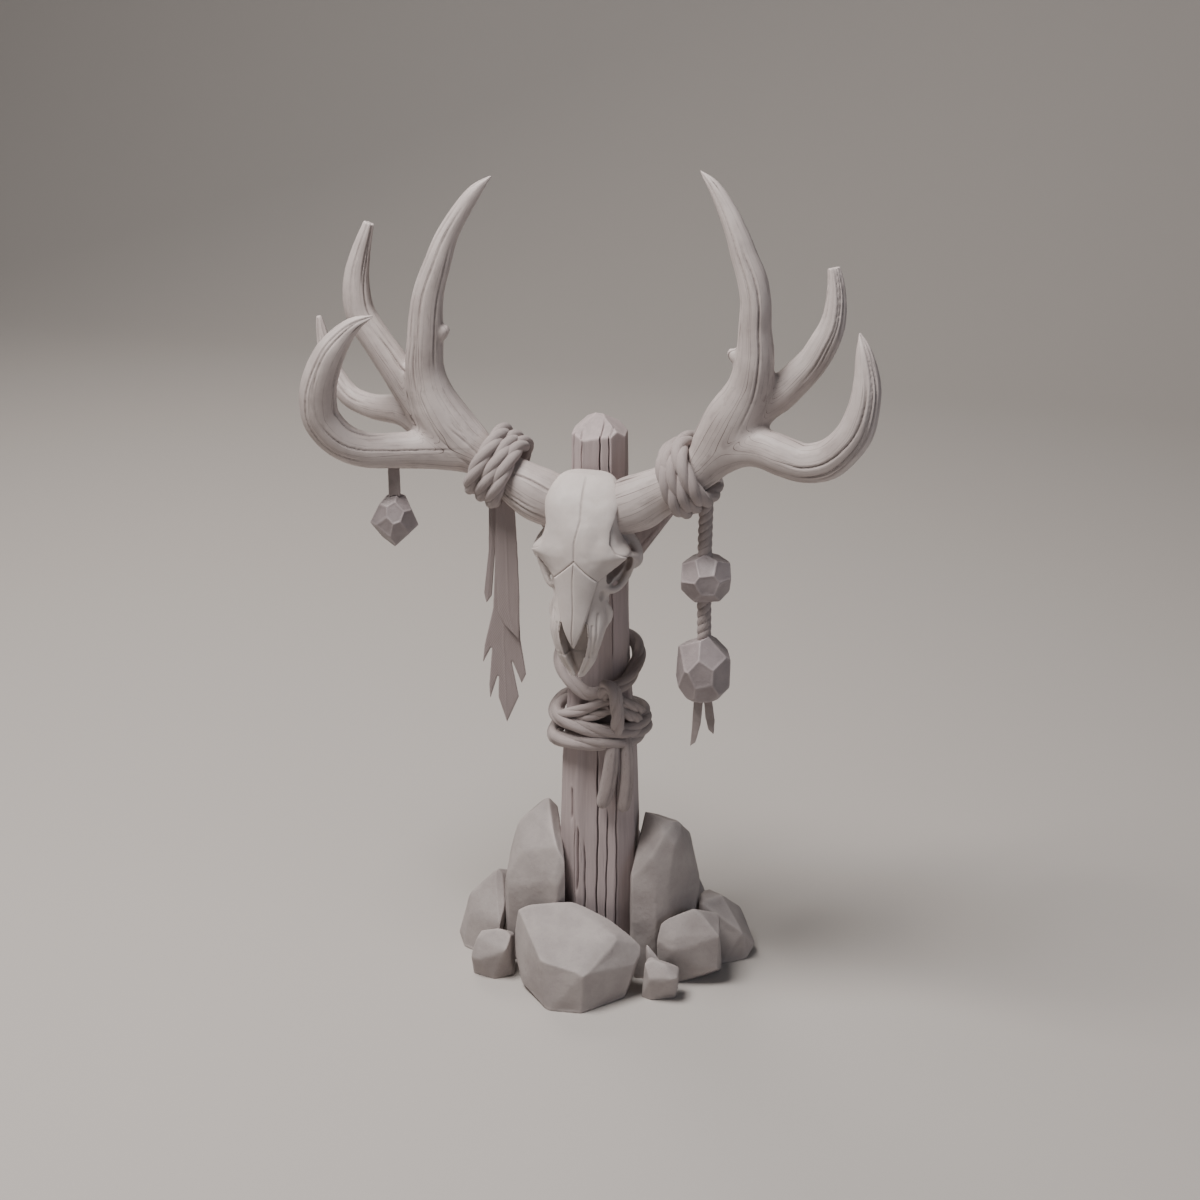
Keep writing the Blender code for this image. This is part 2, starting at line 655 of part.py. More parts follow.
def ball(name, middle, axes, halves, rings=8, sides=14):
    """An ellipsoid whose half sizes lie along three given ways."""
    loops = []
    for i in range(1, rings):
        angle = math.pi * i / rings
        loop = []
        for j in range(sides):
            turn = 2 * math.pi * j / sides
            local = (math.sin(angle) * math.cos(turn), math.sin(angle) * math.sin(turn), math.cos(angle))
            loop.append(np.array(middle) + sum(axes[k] * halves[k] * local[k] for k in range(3)))
        loops.append(loop)
    return skin(name, loops)


def squircle(half_x, half_y, square, count):
    turn = 2 * math.pi * (np.arange(count) + 0.5) / count
    x = half_x * np.sign(np.cos(turn)) * np.abs(np.cos(turn)) ** (2 / square)
    y = half_y * np.sign(np.sin(turn)) * np.abs(np.sin(turn)) ** (2 / square)
    return np.stack((x, y), axis=1)


def post(name, extra=0.0):
    loops = []
    for z, half_x, half_y in post_levels:
        outline = squircle(half_x + extra, half_y + extra, post_square, post_sides)
        loops.append([(x, y, z) for x, y in outline])
    obj = skin(name, loops)
    for point, normal in post_chips:
        slice_off(obj, Vector(point), Vector(normal).normalized())
    return obj


def skull_level(z):
    rows = smooth(skull_levels, 2)[::-1]
    return [np.interp(z, rows[:, 0], rows[:, column]) for column in range(1, 6)]


def face_y(x, z):
    """The front surface of the skull at a place seen from the front."""
    front, half, middle, _, square = skull_level(z)
    share = min(abs(x) / half, 1.0)
    return middle + (front - middle) * (1 - share**square) ** (1 / square)


def skull_body():
    loops = []
    for z in smooth(skull_levels, 2)[:, 0]:
        front, half, middle, back, square = skull_level(z)
        loop = []
        for j in range(skull_sides):
            turn = 2 * math.pi * (j + 0.5) / skull_sides
            side, ahead = math.cos(turn), math.sin(turn)
            power = 2 / (square if ahead > 0 else 2.4)
            x = half * math.copysign(abs(side) ** power, side)
            reach = abs(ahead) ** power * ((front if ahead > 0 else back) - middle)
            loop.append((x, middle + reach, z))
        loops.append(loop)
    return skin("skull_body", loops)


def nasal_plate(name, extra=0.0, proud=0.0):
    """The two nasal bones as one plate that follows the face, thicker by proud in front."""
    steps = np.linspace(-1, 1, 7)
    loops = []
    for i, (z, half) in enumerate(nasal_levels):
        shift = extra if i == 0 else -extra if i == len(nasal_levels) - 1 else 0.0
        reach = half + extra
        front = [(t * reach, face_y(t * reach, z) - proud, z + shift) for t in steps]
        back = [(x, y + proud + nasal_thickness + extra, height) for x, y, height in reversed(front)]
        loops.append(front + back)
    return skin(name, loops)


def mirrored(point, side):
    return (point[0] * side, *point[1:])


def orbit(side):
    out_way = unit(np.array(mirrored(orbit_out, side)))
    level = unit(np.cross(out_way, upward))
    rise = np.cross(level, out_way)
    return ball("orbit", mirrored(orbit_middle, side), (rise, level, out_way), orbit_halves)


def rim(side):
    rows = np.array([mirrored(point, side) for point in orbit_rim])
    out_way = unit(np.array(mirrored(orbit_out, side)))
    loops, _ = rings_along(rows, 6, 1.0, out_way, closed=True)
    return skin("rim", loops, ring=True)


def teeth(side):
    """Cheek teeth on the back of the muzzle, each a tapered block with its root sunk in."""
    dice = random.Random(4)
    made = []
    for i in range(tooth_count):
        z = 0.5420 - i * 0.0088
        x = side * (0.0245 - 0.0008 * i)
        size = 0.0043 * dice.uniform(0.9, 1.05)
        root_y = skull_level(z)[3] - 0.012
        tip_y = skull_level(z)[3] + 0.0085 * dice.uniform(0.9, 1.1)
        loops = []
        for y, share in ((root_y, 1.0), (tip_y, 0.72)):
            corners = ((-1, -1), (1, -1), (1, 1), (-1, 1))
            loops.append([(x + a * size * share, y, z + b * size * share) for a, b in corners])
        made.append(skin("tooth", loops))
    return made


def nose_room():
    """The nose opening, down to the gap between the two tips of the upper jaw."""
    outline = [*nose_outline, *((-x, z) for x, z in reversed(nose_outline))]
    front, back = nose_span
    return slab("nose", outline, (front + back) / 2, back - front)


def build_skull():
    pieces = [skull_body()]
    for side in (-1, 1):
        pieces.append(tube("cheek", [mirrored(p, side) for p in cheek_route], 2, 10, 0.8))
        pieces.append(tube("tuber", [mirrored(p, side) for p in tuber_route], 3, 9, 0.95))
        pieces.append(rim(side))
        pieces.append(hull("blade", [mirrored(p, side) for p in orbit_blade]))
    for side in ("left", "right"):
        pieces.append(branch("pedicle", antlers[side]["beam"], end=beam_start + 1, sides=16))
    whole = join("skull_cranium", pieces)
    cutters = [orbit(side) for side in (-1, 1)]
    cutters += [nose_room()]
    cutters += [post("post_room", gap), nasal_plate("nasal_room", gap, 0.02)]
    cut(whole, cutters)
    muzzle = whole.copy()
    muzzle.data = whole.data.copy()
    muzzle.name = "skull_muzzle"
    bpy.context.scene.collection.objects.link(muzzle)
    cut(whole, [half_space(suture_point + suture_normal * gap / 2, -suture_normal)])
    cut(muzzle, [half_space(suture_point - suture_normal * gap / 2, suture_normal)])
    join("skull_muzzle", [muzzle, *teeth(-1), *teeth(1)])
    return {"bone": [whole, muzzle, nasal_plate("skull_nasal")]}


def branch(name, points, start=0, end=None, extra=0.0, sides=sides_round):
    """Part of an antler's branch, between two of its rows; past the first it starts a gap further on."""
    path = smooth(points, 2)
    loops, tangents = rings_along(path, sides, antler_depth, forward, extra)
    if start:
        loops[start] += tangents[start] * gap
    return skin(name, loops[start:end])


def beam_pieces(side):
    branches = antlers[side]
    pieces = [branch("beam", branches["beam"], start=beam_start, sides=16)]
    for tine, row in tine_starts[side].items():
        pieces.append(branch("stub", branches[tine], end=row + 1))
    return pieces


def build_antler(side):
    made = [join(f"antler_{side}_beam", beam_pieces(side))]
    for tine, row in tine_starts[side].items():
        pieces = [branch(tine, antlers[side][tine], start=row)]
        if tine == "tine_a":
            pieces.append(tube("spur", spurs[side], 1, 8))
        made.append(join(f"antler_{side}_{tine}", pieces))
    return {"antler": made}


def lashing(name, side, extra=0.0):
    """Three turns of rope round a beam and the strut behind it."""
    middle, along, shifts = lashings[side]
    along = unit(np.array(along))
    across = np.cross(forward, along) * (1 if side == "left" else -1)
    outline = squircle(lashing_high + rope_flat, lashing_deep + rope_flat, lashing_square, 20)
    pieces = []
    for top, bottom in shifts:
        rows = []
        for high, deep in outline:
            share = 0.5 + 0.5 * high / (lashing_high + rope_flat)
            shift = bottom + (top - bottom) * share
            centre = np.array(middle) + across * high + forward * (deep + lashing_back) + along * shift
            rows.append((*centre, rope_flat))
        loops, _ = rings_along(np.array(rows), 7, rope_wide / rope_flat, along, extra, closed=True)
        pieces.append(skin("turn", loops, ring=True))
    return join(name, pieces)


def beam_room(side):
    return branch("beam_room", antlers[side]["beam"], start=beam_start, extra=0.0004, sides=16)


def strut(name, side, extra=0.0):
    start, end, half_start, half_end = struts[side]
    way = unit(np.array(end) - np.array(start))
    across = unit(np.cross(way, forward))
    loops = []
    for centre, half in ((start, half_start), (end, half_end)):
        corners = ((-1, -0.6), (-0.7, -1), (0.7, -1), (1, -0.6), (1, 0.6), (0.7, 1), (-0.7, 1), (-1, 0.6))
        wide, deep = half + extra, strut_half_depth + extra
        loops.append([np.array(centre) + across * a * wide + forward * b * deep for a, b in corners])
    return skin(name, loops)


def build_lashings():
    made = []
    for side in ("left", "right"):
        obj = lashing(f"lashing_{side}", side)
        made.append(cut(obj, [beam_room(side), strut("strut_room", side, gap)]))
    return {"rope": made}


def build_post():
    made = [post("post")]
    for side in ("left", "right"):
        obj = strut(f"strut_{side}", side)
        made.append(cut(obj, [post("post_room", gap), beam_room(side)]))
    return {"timber": made}


def post_half(z):
    rows = np.array(post_levels)
    return [np.interp(z, rows[:, 0], rows[:, column]) for column in (1, 2)]


def build_post_rope():
    """Turns, knot and two loose ends on the front of the post."""
    pieces = []
    for height, slope_x, slope_y, half in post_turns:
        rows = []
        for x, y in squircle(1.0, 1.0, post_square, 20):
            z = height + slope_x * x * 0.05 + slope_y * y * 0.05
            half_x, half_y = post_half(z)
            reach = half + 0.0006
            rows.append((x * (half_x + reach), y * (half_y + reach), z, half))
        loops, _ = rings_along(np.array(rows), 6, turn_flatness, upward, closed=True)
        pieces.append(skin("turn", loops, ring=True))
    pieces.append(tube("knot", knot_route, 2, 8, 0.8))
    for route in rope_tails:
        pieces.append(tube("tail", route, 2, 8, 0.8))
    obj = join("lashing_post", pieces)
    return {"rope": [cut(obj, [post("post_room", gap)])]}


def corners_of_facets(ways):
    """Corners of the solid whose flat faces look these ways, each at the facet depth from its middle."""
    dual = bmesh.new()
    for way in unit(np.array(ways)):
        dual.verts.new(way / facet_depth)
    bmesh.ops.convex_hull(dual, input=dual.verts[:])
    dual.normal_update()
    corners = set()
    for face in dual.faces:
        corner = face.normal / face.normal.dot(face.verts[0].co)
        corners.add(tuple(round(value, 5) for value in corner))
    dual.free()
    return sorted(corners)


def bead(name, kind, extra=0.0):
    middle, halves, ways = beads[kind]
    sizes = np.array(halves) + extra
    return hull(name, [np.array(middle) + np.array(corner) * sizes for corner in corners_of_facets(ways)])


def slab(name, outline, y, thickness, extra=0.0):
    """A flat piece from its outline seen from the front."""
    loops = [[(x, y + end * (thickness / 2 + extra), z) for x, z in outline] for end in (-1, 1)]
    return skin(name, loops)


def build_bead_rope():
    upper = ((hang_x, hang_y, hang_top, hang_radii[0]), (hang_x, hang_y, 0.575, hang_radii[1]))
    lower = ((hang_x, hang_y, 0.573, hang_radii[1]), (hang_x, hang_y, 0.460, hang_radii[1]))
    rope_upper = tube("bead_rope_upper", upper, 4, 10)
    rope_lower = tube("bead_rope_lower", lower, 4, 10)
    cut(rope_upper, [lashing("room", "right", gap), bead("room", "bead_upper", gap)])
    cut(rope_lower, [bead("room", "bead_upper", gap), bead("room", "bead_lower", gap)])
    tassels = []
    for name, outline in zip(("tassel_left", "tassel_right"), tassel_outlines):
        placed = [(hang_x + x, z) for x, z in outline]
        obj = slab(name, placed, hang_y, tassel_thick)
        tassels.append(cut(obj, [bead("room", "bead_lower", gap)]))
    faceted = [bead(kind, kind) for kind in ("bead_upper", "bead_lower")]
    return {"rope": [rope_upper, rope_lower], "bead": faceted, "leather": tassels}


def build_pendant():
    bottom, top = strap_span
    outline = [(pendant_x + a * strap_half, z) for a, z in ((-1, bottom), (1, bottom), (1, top), (-1, top))]
    strap = slab("pendant_strap", outline, pendant_y, strap_thick)
    rooms = [bead("room", "pendant_drop", gap)]
    rooms.append(branch("room", antlers["left"]["tine_d"], extra=0.0004))
    return {"leather": [cut(strap, rooms)], "bead": [bead("pendant_drop", "pendant_drop")]}


def build_feathers():
    made = []
    for name, (y, outline) in feathers.items():
        obj = slab(name, outline, y, feather_thick)
        made.append(cut(obj, [beam_room("left"), lashing("room", "left", gap)]))
    return {"feather": made}


def rear_rock(name, x, y, half_x, half_y, height):
    dice = random.Random(name)
    points = []
    for level, share in ((0.0, 0.96), (0.35, 1.0), (0.75, 0.78), (1.0, 0.42)):
        for k in range(7):
            turn = 2 * math.pi * (k + dice.uniform(-0.25, 0.25) + 0.5 * (level == 0.35)) / 7
            reach = share * dice.uniform(0.88, 1.0)
            rise = height * level * (dice.uniform(0.92, 1.0) if level else 0.0)
            points.append((x + half_x * reach * math.cos(turn), y + half_y * reach * math.sin(turn), rise))
    return hull(name, points)


def corners_of(obj):
    return np.array([vert.co for vert in obj.data.vertices])


def ways_round():
    """Ways to look for a plane between two rocks, spread evenly over a sphere."""
    count = 600
    index = np.arange(count) + 0.5
    height = 1 - 2 * index / count
    turn = index * math.pi * (3 - math.sqrt(5))
    level = np.sqrt(1 - height**2)
    return np.stack((level * np.cos(turn), level * np.sin(turn), height), axis=1)


def part_two(first, second, both=True):
    """Trims two convex bodies by the plane where they overlap least."""
    ways = ways_round()
    far = (corners_of(first) @ ways.T).max(axis=0)
    near = (corners_of(second) @ ways.T).min(axis=0)
    best = int(np.argmin(far - near))
    depth = far[best] - near[best]
    if depth < -gap:
        return
    way = Vector(ways[best])
    middle = near[best] + depth / 2 if both else far[best] + gap / 2
    if both:
        slice_off(first, way * (middle - gap / 2), way)
    slice_off(second, way * (middle + gap / 2), -way)


def build_rocks():
    made = [hull(name, points) for name, points in rocks.items()]
    made += [rear_rock(name, *sizes) for name, sizes in rear_rocks.items()]
    foot = post("foot")
    slice_off(foot, Vector((0, 0, 0.25)), Vector((0, 0, 1)))
    for obj in made:
        part_two(foot, obj, both=False)
    remove([foot])
    for i, first in enumerate(made):
        for second in made[i + 1 :]:
            part_two(first, second)
    return {"stone": made}


def main():
    clear_scene()
    builders = [build_post, build_skull]
    builders += [lambda side=side: build_antler(side) for side in ("left", "right")]
    builders += [build_lashings, build_post_rope, build_bead_rope, build_pendant, build_feathers, build_rocks]
    slots = {slot: make_material(slot) for slot in materials}
    for build in builders:
        for slot, objects in build().items():
            for obj in objects:
                obj.data.materials.clear()
                obj.data.materials.append(slots[slot])


main()
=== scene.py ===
import json
import math
import random

import bmesh
import bpy
import numpy as np
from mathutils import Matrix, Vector

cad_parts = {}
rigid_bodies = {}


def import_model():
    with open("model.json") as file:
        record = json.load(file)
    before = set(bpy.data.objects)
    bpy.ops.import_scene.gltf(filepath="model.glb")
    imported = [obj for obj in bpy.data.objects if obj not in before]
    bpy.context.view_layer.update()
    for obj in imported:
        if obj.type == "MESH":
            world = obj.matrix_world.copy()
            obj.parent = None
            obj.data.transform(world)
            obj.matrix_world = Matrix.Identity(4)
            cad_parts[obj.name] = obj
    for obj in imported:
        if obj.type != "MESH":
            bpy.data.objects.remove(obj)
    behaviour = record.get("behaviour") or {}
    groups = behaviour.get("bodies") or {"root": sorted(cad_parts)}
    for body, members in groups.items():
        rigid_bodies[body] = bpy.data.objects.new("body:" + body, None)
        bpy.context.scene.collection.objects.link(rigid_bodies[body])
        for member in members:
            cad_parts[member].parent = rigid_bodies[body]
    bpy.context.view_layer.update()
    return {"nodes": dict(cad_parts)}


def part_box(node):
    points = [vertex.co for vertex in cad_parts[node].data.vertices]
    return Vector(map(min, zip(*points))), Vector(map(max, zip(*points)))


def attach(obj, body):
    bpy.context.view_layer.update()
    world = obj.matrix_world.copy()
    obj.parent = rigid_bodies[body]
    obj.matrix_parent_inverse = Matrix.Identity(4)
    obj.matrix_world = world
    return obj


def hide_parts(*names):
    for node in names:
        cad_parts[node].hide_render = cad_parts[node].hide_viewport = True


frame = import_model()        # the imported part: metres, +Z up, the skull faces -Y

print("frame loaded with", len(frame["nodes"]), "nodes")

forward = np.array((0.0, 1.0, 0.0))
upward = np.array((0.0, 0.0, 1.0))


# Camera at the photograph's angle
cameraPlan = {"azimuth": 16.0, "elevation": 22.0, "distance": 3.0, "height": 0.51, "lens": 72.0}


def placeCamera():
    azimuth = math.radians(cameraPlan["azimuth"])
    elevation = math.radians(cameraPlan["elevation"])
    level = math.cos(elevation)
    away = Vector((math.sin(azimuth) * level, -math.cos(azimuth) * level, math.sin(elevation)))
    data = bpy.data.cameras.new("photoCamera")
    data.lens = cameraPlan["lens"]
    data.sensor_width = 36.0
    data.clip_end = 30.0
    camera = bpy.data.objects.new("photoCamera", data)
    camera.location = Vector((0, 0, cameraPlan["height"])) + away * cameraPlan["distance"]
    camera.rotation_euler = away.to_track_quat("Z", "Y").to_euler()
    bpy.context.scene.collection.objects.link(camera)
    bpy.context.scene.camera = camera


placeCamera()
print("camera placed")


# Small tools for numbers
def unit(rows):
    return rows / np.maximum(np.linalg.norm(rows, axis=-1, keepdims=True), 1e-12)


def eased(share):
    share = np.clip(share, 0.0, 1.0)
    return share * share * (3 - 2 * share)


def smoothRows(rows, steps):
    # a curve through every row, which may hold a radius after its place
    rows = np.array([rows[0], *rows, rows[-1]], float)
    curve = []
    for before, start, end, after in zip(rows, rows[1:], rows[2:], rows[3:]):
        for step in range(steps):
            t = step / steps
            bend = (2 * before - 5 * start + 4 * end - after) * t * t
            twist = (3 * start - before - 3 * end + after) * t**3
            curve.append(0.5 * (2 * start + (end - before) * t + bend + twist))
    curve.append(rows[-2])
    return np.array(curve)


def latticeValue(cells, seed):
    mixed = cells[:, 0] * 73856093 ^ cells[:, 1] * 19349663 ^ cells[:, 2] * 83492791 ^ seed * 97531
    mixed = (mixed ^ (mixed >> 13)) * 1274126177
    return ((mixed ^ (mixed >> 16)) & 0xFFFF) / 0xFFFF


def softNoise(points, size, seed=0):
    # smooth noise from -1 to 1 whose bumps are about size apart
    scaled = np.asarray(points, float) / size + 1000.0
    cells = np.floor(scaled).astype(np.int64)
    inside = eased(scaled - cells)
    total = np.zeros(len(scaled))
    for corner in range(8):
        step = np.array((corner & 1, corner >> 1 & 1, corner >> 2))
        weight = np.where(step, inside, 1 - inside).prod(axis=1)
        total += weight * latticeValue(cells + step, seed)
    return total * 2 - 1


# Small tools for meshes
def pieceFrom(name, points, faces, material=None):
    mesh = bpy.data.meshes.new(name)
    mesh.from_pydata([tuple(point) for point in points], [], faces)
    mesh.update()
    obj = bpy.data.objects.new(name, mesh)
    bpy.context.scene.collection.objects.link(obj)
    if material:
        mesh.materials.append(material)
    return obj


def nodeCopy(name, nodes, push=0.0):
    # the CAD nodes' loose triangles merged into one mesh of closed shells
    gathered = bmesh.new()
    for node in nodes:
        gathered.from_mesh(frame["nodes"][node].data)
    bmesh.ops.remove_doubles(gathered, verts=gathered.verts, dist=1e-6)
    gathered.normal_update()
    for vert in gathered.verts:
        vert.co += vert.normal * push
    mesh = bpy.data.meshes.new(name)
    gathered.to_mesh(mesh)
    gathered.free()
    obj = bpy.data.objects.new(name, mesh)
    bpy.context.scene.collection.objects.link(obj)
    return obj


def applied(obj):
    graph = bpy.context.evaluated_depsgraph_get()
    mesh = bpy.data.meshes.new_from_object(obj.evaluated_get(graph))
    obj.modifiers.clear()
    obj.data = mesh
    return obj


def remeshed(obj, voxel, rounds):
    # one even skin over everything in the mesh, then smoothed
    remesh = obj.modifiers.new("skin", "REMESH")
    remesh.mode = "VOXEL"
    remesh.voxel_size = voxel
    smooth = obj.modifiers.new("smooth", "SMOOTH")
    smooth.factor = 0.5
    smooth.iterations = rounds
    return applied(obj)


def readPoints(obj):
    count = len(obj.data.vertices)
    points, normals = np.empty(count * 3), np.empty(count * 3)
    obj.data.vertices.foreach_get("co", points)
    obj.data.vertex_normals.foreach_get("vector", normals)
    return points.reshape(-1, 3), normals.reshape(-1, 3)


def writePoints(obj, points):
    obj.data.vertices.foreach_set("co", np.asarray(points, np.float32).ravel())
    obj.data.update()


def sink(obj, depth):
    # moves each point inwards along its normal
    points, normals = readPoints(obj)
    writePoints(obj, points - normals * np.asarray(depth)[:, None])


def keepValue(obj, name, values):
    kind = "FLOAT" if np.ndim(values) == 1 else "FLOAT_VECTOR"
    attribute = obj.data.attributes.new(name, kind, "POINT")
    key = "value" if kind == "FLOAT" else "vector"
    attribute.data.foreach_set(key, np.asarray(values, np.float32).ravel())


def neighbourMean(values, edges):
    total = np.zeros_like(values)
    count = np.zeros(len(values))
    for here, there in ((0, 1), (1, 0)):
        np.add.at(total, edges[:, here], values[edges[:, there]])
        np.add.at(count, edges[:, here], 1)
    return total / np.maximum(count, 1)[:, None]


def markHollows(obj, rounds, reach):
    # hollow: 0.5 on a flat place, more in a hollow and less on an edge
    points, normals = readPoints(obj)
    edges = np.empty(len(obj.data.edges) * 2, int)
    obj.data.edges.foreach_get("vertices", edges)
    edges = edges.reshape(-1, 2)
    soft = points
    for _ in range(rounds):
        soft = 0.5 * soft + 0.5 * neighbourMean(soft, edges)
    depth = ((soft - points) * normals).sum(axis=1)
    for _ in range(2):
        depth = neighbourMean(depth[:, None], edges)[:, 0]
    keepValue(obj, "hollow", np.clip(0.5 + depth / reach, 0, 1))


def finishPiece(obj, material, nodes, rounds=8, reach=0.0016, smooth=True):
    obj.data.materials.clear()
    obj.data.materials.append(material)
    if smooth:
        obj.data.shade_smooth()
    markHollows(obj, rounds, reach)
    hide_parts(*nodes)
    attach(obj, "root")
    print("made", obj.name, len(obj.data.polygons), "faces")
    return obj


def ringsAlong(path, sides, depth):
    centres = path[:, :3]
    tangents = unit(np.gradient(centres, axis=0))
    across = unit(np.cross(tangents, forward))
    toward = np.cross(tangents, across)
    turn = 2 * math.pi * (np.arange(sides) + 0.5) / sides
    radii = path[:, 3][:, None, None]
    high = radii * np.cos(turn)[None, :, None] * across[:, None]
    deep = radii * depth * np.sin(turn)[None, :, None] * toward[:, None]
    return centres[:, None] + high + deep, tangents, across, toward


def addTube(mesh, loops):
    rows = [[mesh.verts.new(point) for point in loop] for loop in loops]
    sides = len(rows[0])
    for here, there in zip(rows, rows[1:]):
        for j in range(sides):
            after = (j + 1) % sides
            mesh.faces.new((here[j], here[after], there[after], there[j]))
    mesh.faces.new(rows[0])
    mesh.faces.new(rows[-1])


def objectOf(name, mesh):
    bmesh.ops.recalc_face_normals(mesh, faces=mesh.faces)
    data = bpy.data.meshes.new(name)
    mesh.to_mesh(data)
    mesh.free()
    obj = bpy.data.objects.new(name, data)
    bpy.context.scene.collection.objects.link(obj)
    return obj


# Small tools for materials
def addNode(tree, kind, inputs=None, **settings):
    node = tree.nodes.new(kind)
    for key, value in settings.items():
        setattr(node, key, value)
    for key, value in (inputs or {}).items():
        if isinstance(value, bpy.types.NodeSocket):
            tree.links.new(value, node.inputs[key])
        else:
            node.inputs[key].default_value = value
    return node


def noiseOf(tree, vector, scale, detail=4.0, roughness=0.55, distortion=0.0):
    values = {"Vector": vector, "Scale": scale, "Detail": detail}
    values.update({"Roughness": roughness, "Distortion": distortion})
    return addNode(tree, "ShaderNodeTexNoise", values).outputs["Fac"]


def ramp(tree, value, low, high, start=0.0, end=1.0):
    values = {"Value": value, "From Min": low, "From Max": high, "To Min": start, "To Max": end}
    return addNode(tree, "ShaderNodeMapRange", values).outputs["Result"]


def mixed(tree, share, first, second, blend="MIX"):
    node = addNode(tree, "ShaderNodeMix", data_type="RGBA", blend_type=blend)
    for socket, value in ((node.inputs[0], share), (node.inputs[6], first), (node.inputs[7], second)):
        if isinstance(value, bpy.types.NodeSocket):
            tree.links.new(value, socket)
        else:
            socket.default_value = value
    return node.outputs[2]


def added(tree, first, second, operation="ADD"):
    return addNode(tree, "ShaderNodeMath", {0: first, 1: second}, operation=operation).outputs[0]


def stretched(tree, vector, scale):
    return addNode(tree, "ShaderNodeMapping", {"Vector": vector, "Scale": scale}).outputs["Vector"]


def bumped(tree, height, strength, distance, below=None):
    values = {"Height": height, "Strength": strength, "Distance": distance}
    if below:
        values["Normal"] = below
    return addNode(tree, "ShaderNodeBump", values).outputs["Normal"]


# Light, middle and dark tone of each finish, then how rough it is
finishes = {
    "bone": ((0.60, 0.54, 0.515), (0.515, 0.455, 0.43), (0.17, 0.13, 0.12), 0.56),
    "antler": ((0.535, 0.47, 0.45), (0.42, 0.36, 0.345), (0.11, 0.08, 0.075), 0.55),
    "timber": ((0.48, 0.40, 0.40), (0.355, 0.295, 0.292), (0.05, 0.037, 0.038), 0.78),
    "rope": ((0.365, 0.31, 0.30), (0.28, 0.235, 0.228), (0.075, 0.057, 0.053), 0.86),
    "leather": ((0.34, 0.29, 0.28), (0.26, 0.215, 0.21), (0.09, 0.07, 0.065), 0.66),
    "feather": ((0.36, 0.30, 0.295), (0.275, 0.225, 0.222), (0.09, 0.07, 0.066), 0.70),
    "stone": ((0.43, 0.385, 0.372), (0.33, 0.29, 0.283), (0.12, 0.10, 0.098), 0.80),
    "bead": ((0.355, 0.305, 0.308), (0.27, 0.23, 0.233), (0.09, 0.073, 0.072), 0.48),
}


def startFinish(name):
    made = bpy.data.materials.new(name)
    made.use_nodes = True
    tree = made.node_tree
    place = addNode(tree, "ShaderNodeTexCoord").outputs["Object"]
    hollow = addNode(tree, "ShaderNodeAttribute", attribute_name="hollow").outputs["Fac"]
    return made, tree, tree.nodes["Principled BSDF"], place, hollow


def tonesOf(name):
    light, middle, dark, rough = finishes[name]
    return (*light, 1), (*middle, 1), (*dark, 1), rough


def patchyWithPaintedLight(tree, name, patches, hollow, edgeShare=0.35, hollowShare=0.85):
    # patchy tone, with a painted highlight on edges and painted shade in hollows
    light, middle, dark, _ = tonesOf(name)
    colour = mixed(tree, patches, middle, light)
    # painted highlight: edges get a paler tone
    edge = ramp(tree, hollow, 0.48, 0.25, 0.0, edgeShare)
    colour = mixed(tree, edge, colour, tuple(min(1.0, tone * 1.25) for tone in light[:3]) + (1,))
    # painted shade: hollows get the dark tone
    paintedShade = ramp(tree, hollow, 0.53, 0.85, 0.0, hollowShare)
    return mixed(tree, paintedShade, colour, dark)


def boneFinish():
    made, tree, shader, place, hollow = startFinish("bone")
    patches = ramp(tree, noiseOf(tree, place, 22.0, 6.0, 0.6), 0.35, 0.65)
    colour = patchyWithPaintedLight(tree, "bone", patches, hollow)
    stain = ramp(tree, noiseOf(tree, place, 60.0, 5.0, 0.7, 0.6), 0.60, 0.78, 0.0, 0.35)
    colour = mixed(tree, stain, colour, (0.40, 0.335, 0.285, 1))
    tree.links.new(colour, shader.inputs["Base Color"])
    tree.links.new(ramp(tree, patches, 0, 1, 0.62, 0.50), shader.inputs["Roughness"])
    pores = ramp(tree, noiseOf(tree, place, 900.0, 3.0, 0.6), 0.55, 0.75)
    grain = noiseOf(tree, stretched(tree, place, (1.0, 1.0, 0.25)), 240.0, 5.0, 0.6)
    normal = bumped(tree, grain, 0.35, 0.0006)
    tree.links.new(bumped(tree, pores, -0.4, 0.0003, normal), shader.inputs["Normal"])
    shader.inputs["Subsurface Weight"].default_value = 0.0
    return made


